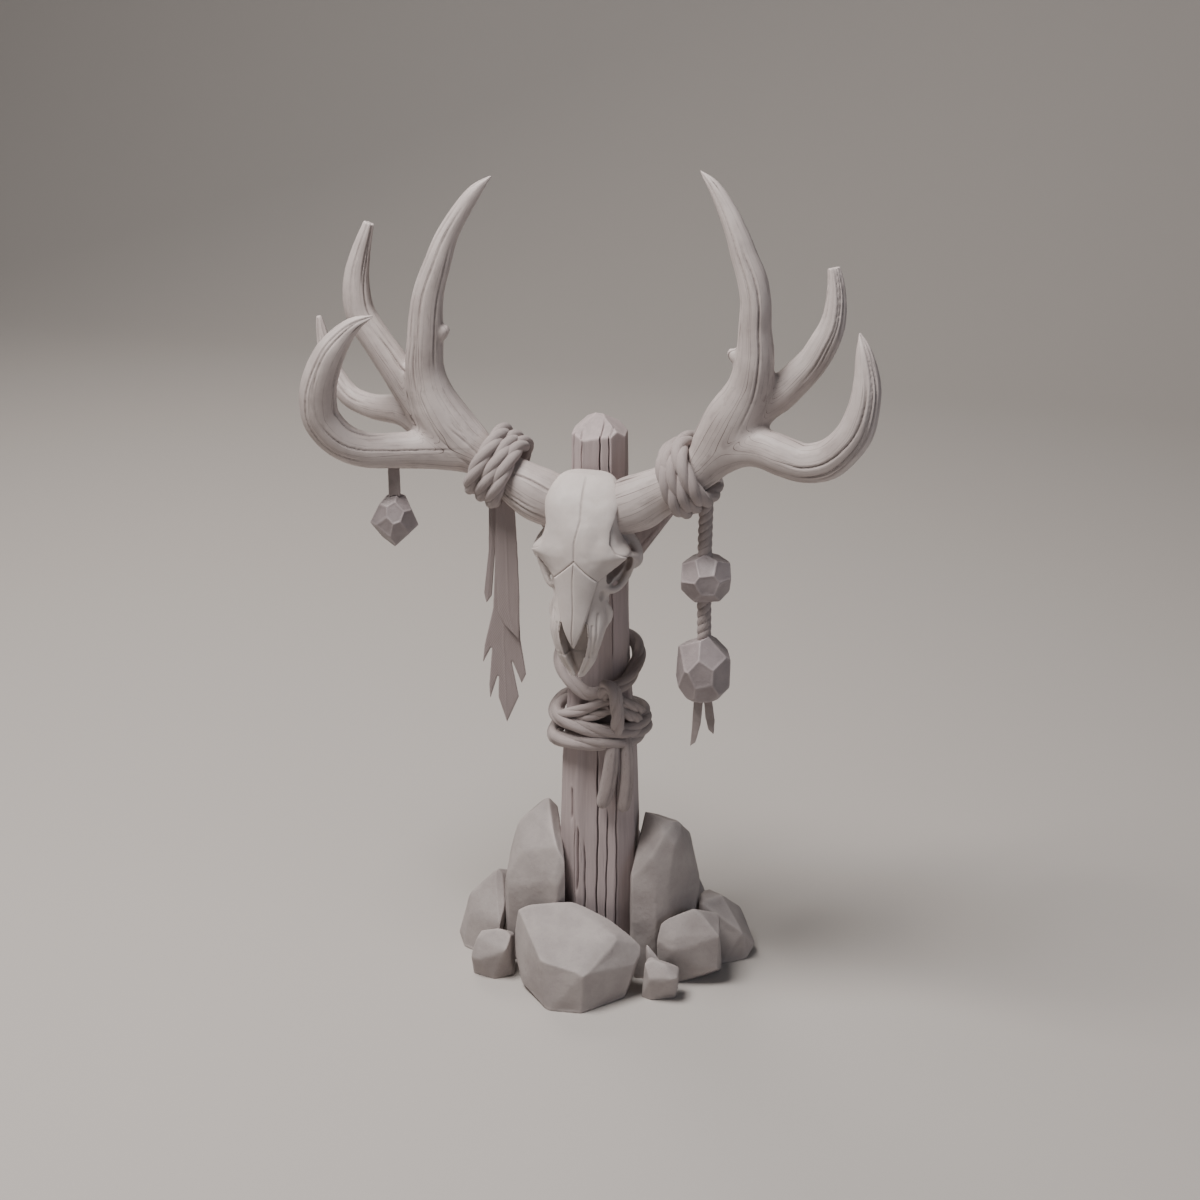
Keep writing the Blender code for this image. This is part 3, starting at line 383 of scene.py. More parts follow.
def antlerFinish():
    made, tree, shader, place, hollow = startFinish("antler")
    flow = addNode(tree, "ShaderNodeAttribute", attribute_name="flow").outputs["Vector"]
    patches = ramp(tree, noiseOf(tree, place, 18.0, 5.0, 0.6), 0.35, 0.65)
    colour = patchyWithPaintedLight(tree, "antler", patches, hollow, 0.45, 0.9)
    streaks = noiseOf(tree, stretched(tree, flow, (3.2, 3.2, 26.0)), 1.0, 5.0, 0.62, 0.3)
    colour = mixed(tree, ramp(tree, streaks, 0.54, 0.76, 0.0, 0.40), colour, tonesOf("antler")[2])
    # thin cracks run where a stretched noise passes its middle value
    grain = noiseOf(tree, stretched(tree, flow, (2.8, 2.8, 2.6)), 1.0, 1.5, 0.4)
    away = added(tree, added(tree, grain, 0.5, "SUBTRACT"), 0.0, "ABSOLUTE")
    broken = ramp(tree, noiseOf(tree, stretched(tree, flow, (2.0, 2.0, 12.0)), 1.0, 2.0), 0.40, 0.50)
    crack = added(tree, ramp(tree, away, 0.012, 0.004), broken, "MULTIPLY")
    colour = mixed(tree, added(tree, crack, 0.85, "MULTIPLY"), colour, tonesOf("antler")[2])
    tree.links.new(colour, shader.inputs["Base Color"])
    tree.links.new(ramp(tree, streaks, 0.3, 0.7, 0.48, 0.68), shader.inputs["Roughness"])
    lines = noiseOf(tree, stretched(tree, flow, (9.0, 9.0, 40.0)), 1.0, 4.0, 0.6, 0.2)
    normal = bumped(tree, crack, -1.0, 0.0016, bumped(tree, streaks, -0.6, 0.0012))
    tree.links.new(bumped(tree, lines, -0.35, 0.0006, normal), shader.inputs["Normal"])
    return made


def timberFinish():
    made, tree, shader, place, hollow = startFinish("timber")
    grainPlace = stretched(tree, place, (1.0, 1.0, 0.035))
    grain = noiseOf(tree, grainPlace, 230.0, 6.0, 0.65, 0.4)
    bands = noiseOf(tree, grainPlace, 55.0, 4.0, 0.5, 0.8)
    patches = ramp(tree, added(tree, grain, bands), 0.75, 1.25)
    colour = patchyWithPaintedLight(tree, "timber", patches, hollow, 0.5, 0.95)
    checks = ramp(tree, grain, 0.62, 0.74, 0.0, 0.45)
    colour = mixed(tree, checks, colour, tonesOf("timber")[2])
    tree.links.new(colour, shader.inputs["Base Color"])
    tree.links.new(ramp(tree, grain, 0.3, 0.7, 0.70, 0.90), shader.inputs["Roughness"])
    normal = bumped(tree, bands, -0.4, 0.0012)
    tree.links.new(bumped(tree, grain, -0.5, 0.0006, normal), shader.inputs["Normal"])
    return made


def ropeFinish():
    made, tree, shader, place, hollow = startFinish("rope")
    flow = addNode(tree, "ShaderNodeAttribute", attribute_name="flow").outputs["Vector"]
    fibres = noiseOf(tree, stretched(tree, flow, (700.0, 700.0, 60.0)), 1.0, 4.0, 0.65, 0.5)
    patches = ramp(tree, added(tree, fibres, noiseOf(tree, place, 40.0)), 0.7, 1.3)
    colour = patchyWithPaintedLight(tree, "rope", patches, hollow, 0.3, 0.9)
    tree.links.new(mixed(tree, ramp(tree, fibres, 0.56, 0.74, 0.0, 0.5), colour, tonesOf("rope")[2]),
                   shader.inputs["Base Color"])
    shader.inputs["Roughness"].default_value = tonesOf("rope")[3]
    tree.links.new(bumped(tree, fibres, 0.8, 0.0007), shader.inputs["Normal"])
    shader.inputs["Sheen Weight"].default_value = 0.15
    return made


def leatherFinish():
    made, tree, shader, place, hollow = startFinish("leather")
    patches = ramp(tree, noiseOf(tree, place, 45.0, 5.0, 0.6), 0.35, 0.65)
    colour = patchyWithPaintedLight(tree, "leather", patches, hollow, 0.6, 0.8)
    tree.links.new(colour, shader.inputs["Base Color"])
    cells = addNode(tree, "ShaderNodeTexVoronoi", {"Vector": place, "Scale": 700.0}).outputs["Distance"]
    tree.links.new(ramp(tree, patches, 0, 1, 0.75, 0.55), shader.inputs["Roughness"])
    tree.links.new(bumped(tree, cells, 0.35, 0.0004), shader.inputs["Normal"])
    return made


def featherFinish():
    made, tree, shader, place, hollow = startFinish("feather")
    barbs = addNode(tree, "ShaderNodeAttribute", attribute_name="barb").outputs["Fac"]
    fine = noiseOf(tree, stretched(tree, place, (1.0, 1.0, 0.15)), 400.0, 4.0, 0.6)
    patches = ramp(tree, added(tree, barbs, fine), 0.5, 1.4)
    colour = patchyWithPaintedLight(tree, "feather", patches, hollow, 0.5, 0.85)
    tree.links.new(colour, shader.inputs["Base Color"])
    shader.inputs["Roughness"].default_value = tonesOf("feather")[3]
    normal = bumped(tree, barbs, 0.5, 0.0006)
    tree.links.new(bumped(tree, fine, 0.3, 0.0003, normal), shader.inputs["Normal"])
    return made


def stoneFinish(name, grainSize, speckle):
    made, tree, shader, place, hollow = startFinish(name)
    patches = ramp(tree, noiseOf(tree, place, grainSize * 0.1, 6.0, 0.65), 0.35, 0.65)
    colour = patchyWithPaintedLight(tree, name, patches, hollow, 0.5, 0.8)
    specks = noiseOf(tree, place, grainSize * 4.0, 3.0, 0.7)
    colour = mixed(tree, ramp(tree, specks, 0.60, 0.72, 0.0, speckle), colour, tonesOf(name)[2])
    colour = mixed(tree, ramp(tree, specks, 0.40, 0.30, 0.0, speckle), colour, tonesOf(name)[0])
    tree.links.new(colour, shader.inputs["Base Color"])
    rough = tonesOf(name)[3]
    tree.links.new(ramp(tree, patches, 0, 1, rough + 0.06, rough - 0.06), shader.inputs["Roughness"])
    coarse = noiseOf(tree, place, grainSize, 6.0, 0.6)
    normal = bumped(tree, coarse, 0.35, 0.0016)
    tree.links.new(bumped(tree, specks, -0.3, 0.0004, normal), shader.inputs["Normal"])
    return made


finishOf = {
    "bone": boneFinish(),
    "antler": antlerFinish(),
    "timber": timberFinish(),
    "rope": ropeFinish(),
    "leather": leatherFinish(),
    "feather": featherFinish(),
    "stone": stoneFinish("stone", 160.0, 0.35),
    "bead": stoneFinish("bead", 260.0, 0.25),
}
print("finishes made:", ", ".join(finishOf))


# Laid rope: Geometry Nodes wind the strands round any path
ropePlan = {"strands": 3, "strandShare": 0.64, "lay": 0.088, "sides": 16, "step": 0.0020}


def ropeTree():
    tree = bpy.data.node_groups.new("laidRope", "GeometryNodeTree")
    face = tree.interface
    face.new_socket("Geometry", in_out="INPUT", socket_type="NodeSocketGeometry")
    for name in ("Radius", "Strand Radius", "Turns"):
        face.new_socket(name, in_out="INPUT", socket_type="NodeSocketFloat")
    for name in ("Strands", "Steps", "Sides"):
        face.new_socket(name, in_out="INPUT", socket_type="NodeSocketInt")
    face.new_socket("Finish", in_out="INPUT", socket_type="NodeSocketMaterial")
    face.new_socket("Geometry", in_out="OUTPUT", socket_type="NodeSocketGeometry")
    given = addNode(tree, "NodeGroupInput").outputs
    path = addNode(tree, "GeometryNodeResampleCurve", {"Curve": given["Geometry"], "Count": given["Steps"]})
    copies = addNode(tree, "GeometryNodeDuplicateElements",
                     {"Geometry": path.outputs["Curve"], "Amount": given["Strands"]}, domain="SPLINE")
    along = addNode(tree, "GeometryNodeSplineParameter")
    turns = added(tree, along.outputs["Factor"], given["Turns"], "MULTIPLY")
    start = added(tree, copies.outputs["Duplicate Index"], given["Strands"], "DIVIDE")
    angle = added(tree, added(tree, turns, start), 2 * math.pi, "MULTIPLY")
    tangent = addNode(tree, "GeometryNodeInputTangent").outputs["Tangent"]
    normal = addNode(tree, "GeometryNodeInputNormal").outputs["Normal"]
    side = addNode(tree, "ShaderNodeVectorRotate",
                   {"Vector": normal, "Axis": tangent, "Angle": angle}, rotation_type="AXIS_ANGLE")
    reach = added(tree, given["Radius"], given["Strand Radius"], "SUBTRACT")
    offset = addNode(tree, "ShaderNodeVectorMath",
                     {0: side.outputs["Vector"], "Scale": reach}, operation="SCALE").outputs["Vector"]
    length = addNode(tree, "GeometryNodeStoreNamedAttribute",
                     {"Geometry": copies.outputs["Geometry"], "Name": "alongRope",
                      "Value": along.outputs["Length"]}, data_type="FLOAT", domain="POINT")
    wound = addNode(tree, "GeometryNodeSetPosition",
                    {"Geometry": length.outputs["Geometry"], "Offset": offset})
    ring = addNode(tree, "GeometryNodeCurvePrimitiveCircle",
                   {"Resolution": given["Sides"], "Radius": given["Strand Radius"]})
    where = addNode(tree, "GeometryNodeInputPosition").outputs["Position"]
    section = addNode(tree, "GeometryNodeStoreNamedAttribute",
                      {"Geometry": ring.outputs["Curve"], "Name": "roundRope", "Value": where},
                      data_type="FLOAT_VECTOR", domain="POINT")
    tube = addNode(tree, "GeometryNodeCurveToMesh",
                   {"Curve": wound.outputs["Geometry"], "Profile Curve": section.outputs["Geometry"],
                    "Fill Caps": True})
    real = addNode(tree, "GeometryNodeRealizeInstances", {"Geometry": tube.outputs["Mesh"]})
    coated = addNode(tree, "GeometryNodeSetMaterial",
                     {"Geometry": real.outputs["Geometry"], "Material": given["Finish"]})
    addNode(tree, "NodeGroupOutput", {"Geometry": coated.outputs["Geometry"]})
    return tree


laidRope = ropeTree()


def setInputs(modifier, values):
    for item in modifier.node_group.interface.items_tree:
        if item.item_type == "SOCKET" and item.in_out == "INPUT" and item.name in values:
            modifier[item.identifier] = values[item.name]


def laidPiece(name, path, radius, closed=False, lay=None):
    # three strands wound round a path of points
    path = np.asarray(path, float)
    curve = bpy.data.curves.new(name, "CURVE")
    curve.dimensions = "3D"
    curve.twist_mode = "MINIMUM"
    spline = curve.splines.new("POLY")
    spline.points.add(len(path) - 1)
    spline.points.foreach_set("co", np.column_stack((path, np.ones(len(path)))).ravel())
    spline.use_cyclic_u = closed
    guide = bpy.data.objects.new(name, curve)
    bpy.context.scene.collection.objects.link(guide)
    ends = np.vstack((path, path[:1])) if closed else path
    length = np.linalg.norm(np.diff(ends, axis=0), axis=1).sum()
    turns = max(1, round(length / (lay or ropePlan["lay"])))
    modifier = guide.modifiers.new("laidRope", "NODES")
    modifier.node_group = laidRope
    setInputs(modifier, {
        "Radius": radius, "Strand Radius": radius * ropePlan["strandShare"], "Turns": float(turns),
        "Strands": ropePlan["strands"], "Steps": max(24, round(length / ropePlan["step"])),
        "Sides": ropePlan["sides"], "Finish": finishOf["rope"],
    })
    graph = bpy.context.evaluated_depsgraph_get()
    mesh = bpy.data.meshes.new_from_object(guide.evaluated_get(graph))
    bpy.data.objects.remove(guide)
    obj = bpy.data.objects.new(name, mesh)
    bpy.context.scene.collection.objects.link(obj)
    return obj


def joined(name, pieces):
    # several made pieces as one mesh, with their named values kept
    for obj in bpy.context.view_layer.objects:
        obj.select_set(False)
    for piece in pieces:
        piece.select_set(True)
    bpy.context.view_layer.objects.active = pieces[0]
    if len(pieces) > 1:
        bpy.ops.object.join()
    pieces[0].name = name
    return pieces[0]


def ropeFlow(obj):
    # where each point lies round and along its strand
    count = len(obj.data.vertices)
    along, around = np.zeros(count), np.zeros(count * 3)
    obj.data.attributes["alongRope"].data.foreach_get("value", along)
    obj.data.attributes["roundRope"].data.foreach_get("vector", around)
    around = around.reshape(-1, 3)
    keepValue(obj, "flow", np.column_stack((around[:, 0], around[:, 1], along)))


def finishRope(obj, nodes):
    ropeFlow(obj)
    return finishPiece(obj, finishOf["rope"], nodes, 3, 0.0012)


# Hanging bead rope, from the right lashing down through both beads to its knot
hangingRope = {
    "x": 0.1445, "y": -0.045, "top": 0.678, "bottom": 0.418,
    "radius": 0.0090, "points": 27, "lay": 0.034,
}


def makeHangingRope():
    plan = hangingRope
    heights = np.linspace(plan["top"], plan["bottom"], plan["points"])
    sway = 0.0006 * np.sin((heights - plan["bottom"]) * 28.0)
    path = [(plan["x"] + shift, plan["y"], height) for shift, height in zip(sway, heights)]
    rope = laidPiece("hangingRope", path, plan["radius"], lay=plan["lay"])
    return finishRope(rope, ["bead_rope_upper", "bead_rope_lower"]), path


hangingPiece, hangingPath = makeHangingRope()


# Lashings round the antlers and the struts behind them
lashingPlan = {
    "high": 0.0290, "deep": 0.0374, "back": 0.0107, "square": 2.5, "radius": 0.0104, "points": 72,
    "left": {
        "middle": (-0.122, -0.046, 0.690), "along": (-0.87, 0.0, 0.49),
        "turns": ((0.014, 0.009), (-0.002, -0.007), (-0.014, -0.023)),
    },
    "right": {
        "middle": (0.122, -0.046, 0.701), "along": (0.82, 0.0, 0.57),
        "turns": ((0.015, 0.007), (0.000, -0.009), (-0.008, -0.024)),
    },
}


def squareRound(square, count):
    turn = 2 * math.pi * (np.arange(count) + 0.5) / count
    x = np.sign(np.cos(turn)) * np.abs(np.cos(turn)) ** (2 / square)
    y = np.sign(np.sin(turn)) * np.abs(np.sin(turn)) ** (2 / square)
    return np.stack((x, y), axis=1)


def makeLashing(side):
    plan = lashingPlan[side]
    along = unit(np.array(plan["along"]))
    across = np.cross(forward, along) * (1 if side == "left" else -1)
    outline = squareRound(lashingPlan["square"], lashingPlan["points"])
    high = lashingPlan["high"] + 0.0070
    deep = lashingPlan["deep"] + 0.0070
    turns = []
    for number, (top, bottom) in enumerate(plan["turns"]):
        path = []
        for rise, back in outline:
            shift = bottom + (top - bottom) * (0.5 + 0.5 * rise)
            shift += 0.0012 * math.sin(3.0 * back + number)
            centre = np.array(plan["middle"]) + across * rise * high
            path.append(centre + forward * (back * deep + lashingPlan["back"]) + along * shift)
        turns.append(laidPiece(f"turn{number}", path, lashingPlan["radius"], closed=True))
    name = f"lashing{side.capitalize()}"
    return finishRope(joined(name, turns), [f"lashing_{side}"])


for side in ("left", "right"):
    makeLashing(side)


# Rope round the post: turns, a knot over them and two loose ends
postLevels = (
    (0.000, 0.047, 0.049), (0.100, 0.050, 0.050), (0.200, 0.053, 0.048), (0.300, 0.050, 0.044),
    (0.380, 0.043, 0.040), (0.430, 0.040, 0.036), (0.500, 0.038, 0.034), (0.755, 0.036, 0.033),
)
postRope = {
    "square": 2.8, "points": 96, "reach": 0.0004, "lay": 0.150,
    # height, sideways slope, forward slope, rise in the middle of the front, radius
    "turns": (
        (0.335, 0.10, -0.04, 0.0, 0.0106), (0.357, -0.12, -0.02, -0.002, 0.0106),
        (0.436, -0.12, 0.34, -0.019, 0.0094),
    ),
    # the crossing strands and the band over them, each as points on its way
    "strands": (
        ((0.026, -0.049, 0.399), (0.004, -0.050, 0.387), (-0.018, -0.049, 0.376), (-0.036, -0.044, 0.368),
         (-0.048, -0.030, 0.360), (-0.050, -0.010, 0.352)),
        ((0.028, -0.048, 0.386), (0.010, -0.049, 0.376), (-0.008, -0.048, 0.367), (-0.024, -0.046, 0.358)),
        ((0.030, -0.049, 0.402), (0.043, -0.043, 0.394), (0.0515, -0.026, 0.382), (0.0530, -0.008, 0.370),
         (0.050, 0.014, 0.358)),
        ((0.032, -0.048, 0.390), (0.044, -0.042, 0.379), (0.0525, -0.026, 0.367), (0.0530, -0.008, 0.355)),
    ),
    "strandRadius": 0.0072,
    "knot": ((0.019, -0.047, 0.402), (0.022, -0.055, 0.415), (0.028, -0.0605, 0.422), (0.0355, -0.0625, 0.416),
             (0.039, -0.0625, 0.402), (0.0395, -0.0605, 0.386), (0.0385, -0.055, 0.370), (0.037, -0.048, 0.358)),
    "knotRadius": 0.0090,
    # loose ends: place and radius
    "ends": (
        ((0.0300, -0.0460, 0.3480, 0.0080), (0.0310, -0.0530, 0.3280, 0.0092), (0.0290, -0.0540, 0.3050, 0.0098),
         (0.0245, -0.0530, 0.2780, 0.0100), (0.0195, -0.0520, 0.2580, 0.0092), (0.0175, -0.0515, 0.2500, 0.0066),
         (0.0170, -0.0512, 0.2470, 0.0030)),
        ((0.0440, -0.0400, 0.3480, 0.0078), (0.0480, -0.0465, 0.3280, 0.0086), (0.0490, -0.0470, 0.3000, 0.0092),
         (0.0470, -0.0460, 0.2720, 0.0094), (0.0440, -0.0450, 0.2520, 0.0086), (0.0425, -0.0445, 0.2450, 0.0062),
         (0.0420, -0.0442, 0.2420, 0.0028)),
    ),
    "endDepth": 0.62, "endSides": 30, "endGroove": 0.20,
}


def postHalf(z):
    rows = np.array(postLevels)
    return [np.interp(z, rows[:, 0], rows[:, column]) for column in (1, 2)]


def makeRopeEnd(route):
    # a loose end whose strands lie side by side and close in a round tip
    plan = postRope
    mesh = bmesh.new()
    path = smoothRows(route, 10)
    loops, *_ = ringsAlong(path, plan["endSides"], plan["endDepth"])
    turn = 2 * math.pi * (np.arange(plan["endSides"]) + 0.5) / plan["endSides"]
    groove = np.exp(-((np.cos(1.5 * turn + 0.6)) / 0.30) ** 2) * plan["endGroove"]
    centres = path[:, None, :3]
    addTube(mesh, centres + (loops - centres) * (1 - groove)[None, :, None])
    obj = objectOf("end", mesh)
    lengths = np.concatenate(([0], np.linalg.norm(np.diff(path[:, :3], axis=0), axis=1).cumsum()))
    keepValue(obj, "alongRope", np.repeat(lengths, plan["endSides"]))
    round_ = np.column_stack((np.cos(turn), np.sin(turn), 0 * turn)) * 0.005
    keepValue(obj, "roundRope", np.tile(round_, (len(path), 1)))
    return obj


def makePostRope():
    plan = postRope
    made = []
    for height, slopeX, slopeY, rise, radius in plan["turns"]:
        path = []
        for x, y in squareRound(plan["square"], plan["points"]):
            z = height + slopeX * x * 0.05 + slopeY * y * 0.05 + (rise * (1 - abs(x)) if y < 0 else 0.0)
            halfX, halfY = postHalf(z)
            reach = radius + plan["reach"] - 0.002
            path.append((x * (halfX + reach), y * (halfY + reach), z))
        made.append(laidPiece("turn", path, radius, closed=True, lay=plan["lay"]))
    for route in plan["strands"]:
        made.append(laidPiece("strand", smoothRows(route, 8), plan["strandRadius"], lay=plan["lay"]))
    made.append(laidPiece("knot", smoothRows(plan["knot"], 8), plan["knotRadius"], lay=plan["lay"]))
    made += [makeRopeEnd(route) for route in plan["ends"]]
    return finishRope(joined("lashingPost", made), ["lashing_post"])


makePostRope()


# Antlers: the routes of beam and tines, with a radius at each point
antlerPlan = {"depth": 0.9, "sides": 28, "voxel": 0.00158, "rounds": 5, "grooves": 13, "grooveDepth": 0.0022,
              "webs": 70}
antlerRoutes = {
    "left": {
        "beam": (
            (-0.028, -0.050, 0.648, 0.0320), (-0.060, -0.051, 0.660, 0.0350), (-0.082, -0.050, 0.670, 0.0320),
            (-0.108, -0.047, 0.683, 0.0270), (-0.136, -0.045, 0.699, 0.0270), (-0.153, -0.045, 0.712, 0.0315),
            (-0.177, -0.045, 0.735, 0.0341), (-0.199, -0.047, 0.770, 0.0303),
        ),
        "tineA": (
            (-0.177, -0.045, 0.735, 0.0329), (-0.197, -0.047, 0.771, 0.0291), (-0.206, -0.048, 0.808, 0.0248),
            (-0.204, -0.050, 0.846, 0.0228), (-0.199, -0.050, 0.898, 0.0197), (-0.186, -0.047, 0.942, 0.0166),
            (-0.175, -0.043, 0.972, 0.0139), (-0.158, -0.038, 1.002, 0.0118), (-0.142, -0.032, 1.025, 0.0082),
            (-0.125, -0.026, 1.042, 0.0018),
        ),
        "tineB": (
            (-0.192, -0.040, 0.735, 0.0293), (-0.225, -0.035, 0.768, 0.0244), (-0.251, -0.032, 0.802, 0.0213),
            (-0.274, -0.030, 0.833, 0.0198), (-0.293, -0.028, 0.861, 0.0195), (-0.299, -0.027, 0.885, 0.0182),
            (-0.299, -0.025, 0.911, 0.0161), (-0.293, -0.022, 0.941, 0.0121), (-0.283, -0.018, 0.975, 0.0072),
        ),
        "tineC": (
            (-0.208, -0.030, 0.730, 0.0270), (-0.250, -0.005, 0.737, 0.0211), (-0.294, 0.012, 0.733, 0.0169),
            (-0.329, 0.022, 0.739, 0.0151), (-0.352, 0.030, 0.758, 0.0139), (-0.367, 0.036, 0.788, 0.0113),
            (-0.375, 0.040, 0.815, 0.0082), (-0.379, 0.042, 0.837, 0.0038),
        ),
        "tineD": (
            (-0.149, -0.045, 0.708, 0.0290), (-0.176, -0.050, 0.708, 0.0278), (-0.205, -0.058, 0.708, 0.0250),
            (-0.241, -0.068, 0.706, 0.0229), (-0.275, -0.080, 0.708, 0.0223), (-0.302, -0.092, 0.722, 0.0237),
            (-0.320, -0.102, 0.749, 0.0242), (-0.322, -0.107, 0.775, 0.0235), (-0.317, -0.110, 0.804, 0.0221),
            (-0.304, -0.110, 0.834, 0.0191), (-0.289, -0.108, 0.856, 0.0148), (-0.271, -0.105, 0.873, 0.0095),
            (-0.249, -0.100, 0.883, 0.0018),
        ),
        "spur": ((-0.192, -0.050, 0.850, 0.0140), (-0.179, -0.051, 0.858, 0.0085), (-0.173, -0.051, 0.861, 0.0035)),
    },
    "right": {
        "beam": (
            (0.028, -0.050, 0.648, 0.0320), (0.060, -0.051, 0.662, 0.0350), (0.082, -0.050, 0.675, 0.0312),
            (0.106, -0.047, 0.690, 0.0270), (0.137, -0.045, 0.712, 0.0268), (0.152, -0.045, 0.730, 0.0300),
            (0.174, -0.045, 0.765, 0.0329), (0.189, -0.047, 0.800, 0.0300),
        ),
        "tineA": (
            (0.151, -0.045, 0.735, 0.0300), (0.174, -0.046, 0.777, 0.0328), (0.194, -0.048, 0.814, 0.0279),
            (0.201, -0.050, 0.855, 0.0231), (0.200, -0.050, 0.889, 0.0198), (0.200, -0.050, 0.920, 0.0187),
            (0.195, -0.048, 0.945, 0.0183), (0.184, -0.045, 0.972, 0.0162), (0.175, -0.042, 0.995, 0.0143),
            (0.161, -0.037, 1.022, 0.0120), (0.144, -0.032, 1.047, 0.0074), (0.126, -0.027, 1.063, 0.0016),
        ),
        "tineB": (
            (0.177, -0.040, 0.764, 0.0306), (0.208, -0.036, 0.793, 0.0234), (0.228, -0.033, 0.809, 0.0222),
            (0.247, -0.030, 0.828, 0.0204), (0.264, -0.028, 0.848, 0.0191), (0.275, -0.026, 0.868, 0.0179),
            (0.285, -0.024, 0.892, 0.0155), (0.288, -0.022, 0.916, 0.0132), (0.287, -0.020, 0.939, 0.0106),
            (0.283, -0.018, 0.959, 0.0080),
        ),
        "tineD": (
            (0.151, -0.045, 0.729, 0.0290), (0.185, -0.050, 0.745, 0.0264), (0.213, -0.056, 0.747, 0.0246),
            (0.240, -0.064, 0.742, 0.0245), (0.267, -0.070, 0.738, 0.0238), (0.293, -0.075, 0.746, 0.0242),
            (0.313, -0.080, 0.764, 0.0229), (0.328, -0.080, 0.787, 0.0217), (0.336, -0.078, 0.817, 0.0188),
            (0.336, -0.072, 0.845, 0.0159), (0.330, -0.066, 0.876, 0.0096), (0.323, -0.060, 0.896, 0.0020),
        ),
        "spur": ((0.190, -0.050, 0.848, 0.0140), (0.176, -0.051, 0.856, 0.0085), (0.169, -0.051, 0.860, 0.0035)),
    },
}


def branchPlaces(points, path):
    # nearest place on one branch: share of its radius away, length along it, way round it
    _, tangents, across, toward = ringsAlong(path, 4, 1.0)
    lengths = np.concatenate(([0], np.linalg.norm(np.diff(path[:, :3], axis=0), axis=1).cumsum()))
    best = np.full(len(points), np.inf)
    along, round_ = np.zeros(len(points)), np.zeros((len(points), 2))
    for row, length, tangent, side, front in zip(path, lengths, tangents, across, toward):
        away = points - row[:3]
        share = np.linalg.norm(away, axis=1) / row[3]
        nearer = share < best
        best = np.where(nearer, share, best)
        part = away[nearer]
        along[nearer] = length + part @ tangent
        round_[nearer] = unit(np.column_stack((part @ side, part @ front)))
    return best, along, round_, lengths[-1]


def antlerGrooves(points, routes, plan, seed):
    # long cracks that follow each branch, and the flow of the grain for the finish
    dice = random.Random(seed)
    depth = np.zeros(len(points))
    flow = np.zeros((len(points), 3))
    total = np.zeros(len(points))
    for name, route in routes.items():
        if name == "spur":
            continue
        path = smoothRows(route, 6)
        best, along, around, length = branchPlaces(points, path)
        weight = np.exp(-12.0 * np.maximum(best - 0.8, 0.0)) + 1e-9
        angle = np.arctan2(around[:, 1], around[:, 0])
        radius = np.interp(along, np.linspace(0, length, len(path)), path[:, 3])
        here = np.zeros(len(points))
        for _ in range(plan["grooves"]):
            centre, start = dice.uniform(-math.pi, math.pi), dice.uniform(-0.1, 0.7) * length
            span, drift = dice.uniform(0.35, 0.8) * length, dice.uniform(-0.25, 0.25)
            strength, wide = dice.uniform(0.5, 1.0), dice.uniform(0.0014, 0.0020)
            share = (along - start) / span
            middle = centre + drift * share + 0.05 * np.sin(share * 9.0 + centre)
            apart = np.abs((angle - middle + math.pi) % (2 * math.pi) - math.pi) * radius
            ends = eased(share * 5) * eased((1 - share) * 4)
            here = np.maximum(here, strength * ends * (1 - eased(apart / wide)))
        flutes = 0.25 * (1 + np.sin(5 * angle + 14 * along + 2 * softNoise(points, 0.05, seed)))
        depth += weight * (here * plan["grooveDepth"] + flutes * 0.0006)
        flow += weight[:, None] * np.column_stack((around, along))
        total += weight
    return depth / total, flow / total[:, None]


def webJunctions(obj, routes):
    # where branches part, rounds of smoothing draw the skin out into a web
    points, _ = readPoints(obj)
    shares = [branchPlaces(points, smoothRows(route, 4))[0] for name, route in routes.items() if name != "spur"]
    second = np.sort(shares, axis=0)[1]
    weight = 0.5 * eased((1.75 - second) / 0.45)[:, None]
    edges = np.empty(len(obj.data.edges) * 2, int)
    obj.data.edges.foreach_get("vertices", edges)
    edges = edges.reshape(-1, 2)
    edges = edges[(weight[edges] > 0).any(axis=1)[:, 0]]
    for _ in range(antlerPlan["webs"]):
        points = np.where(weight > 0, points + weight * (neighbourMean(points, edges) - points), points)
    writePoints(obj, points)


def makeAntler(side):
    routes = antlerRoutes[side]
    raw = bmesh.new()
    for route in routes.values():
        loops, *_ = ringsAlong(smoothRows(route, 5), antlerPlan["sides"], antlerPlan["depth"])
        addTube(raw, loops)
    obj = remeshed(objectOf(f"antler{side.capitalize()}", raw), antlerPlan["voxel"], antlerPlan["rounds"])
    webJunctions(obj, routes)
    points, _ = readPoints(obj)
    depth, flow = antlerGrooves(points, routes, antlerPlan, 3 if side == "left" else 8)
    depth += 0.0006 * (softNoise(points, 0.03, 2) + 0.6) + 0.00012 * softNoise(points, 0.008, 5)
    sink(obj, depth)
    keepValue(obj, "flow", flow)
    tines = ["beam", "tine_a", "tine_b", "tine_c", "tine_d"]
    nodes = [f"antler_{side}_{tine}" for tine in tines if f"antler_{side}_{tine}" in frame["nodes"]]
    return finishPiece(obj, finishOf["antler"], nodes, 6, 0.0011)


for side in ("left", "right"):
    makeAntler(side)


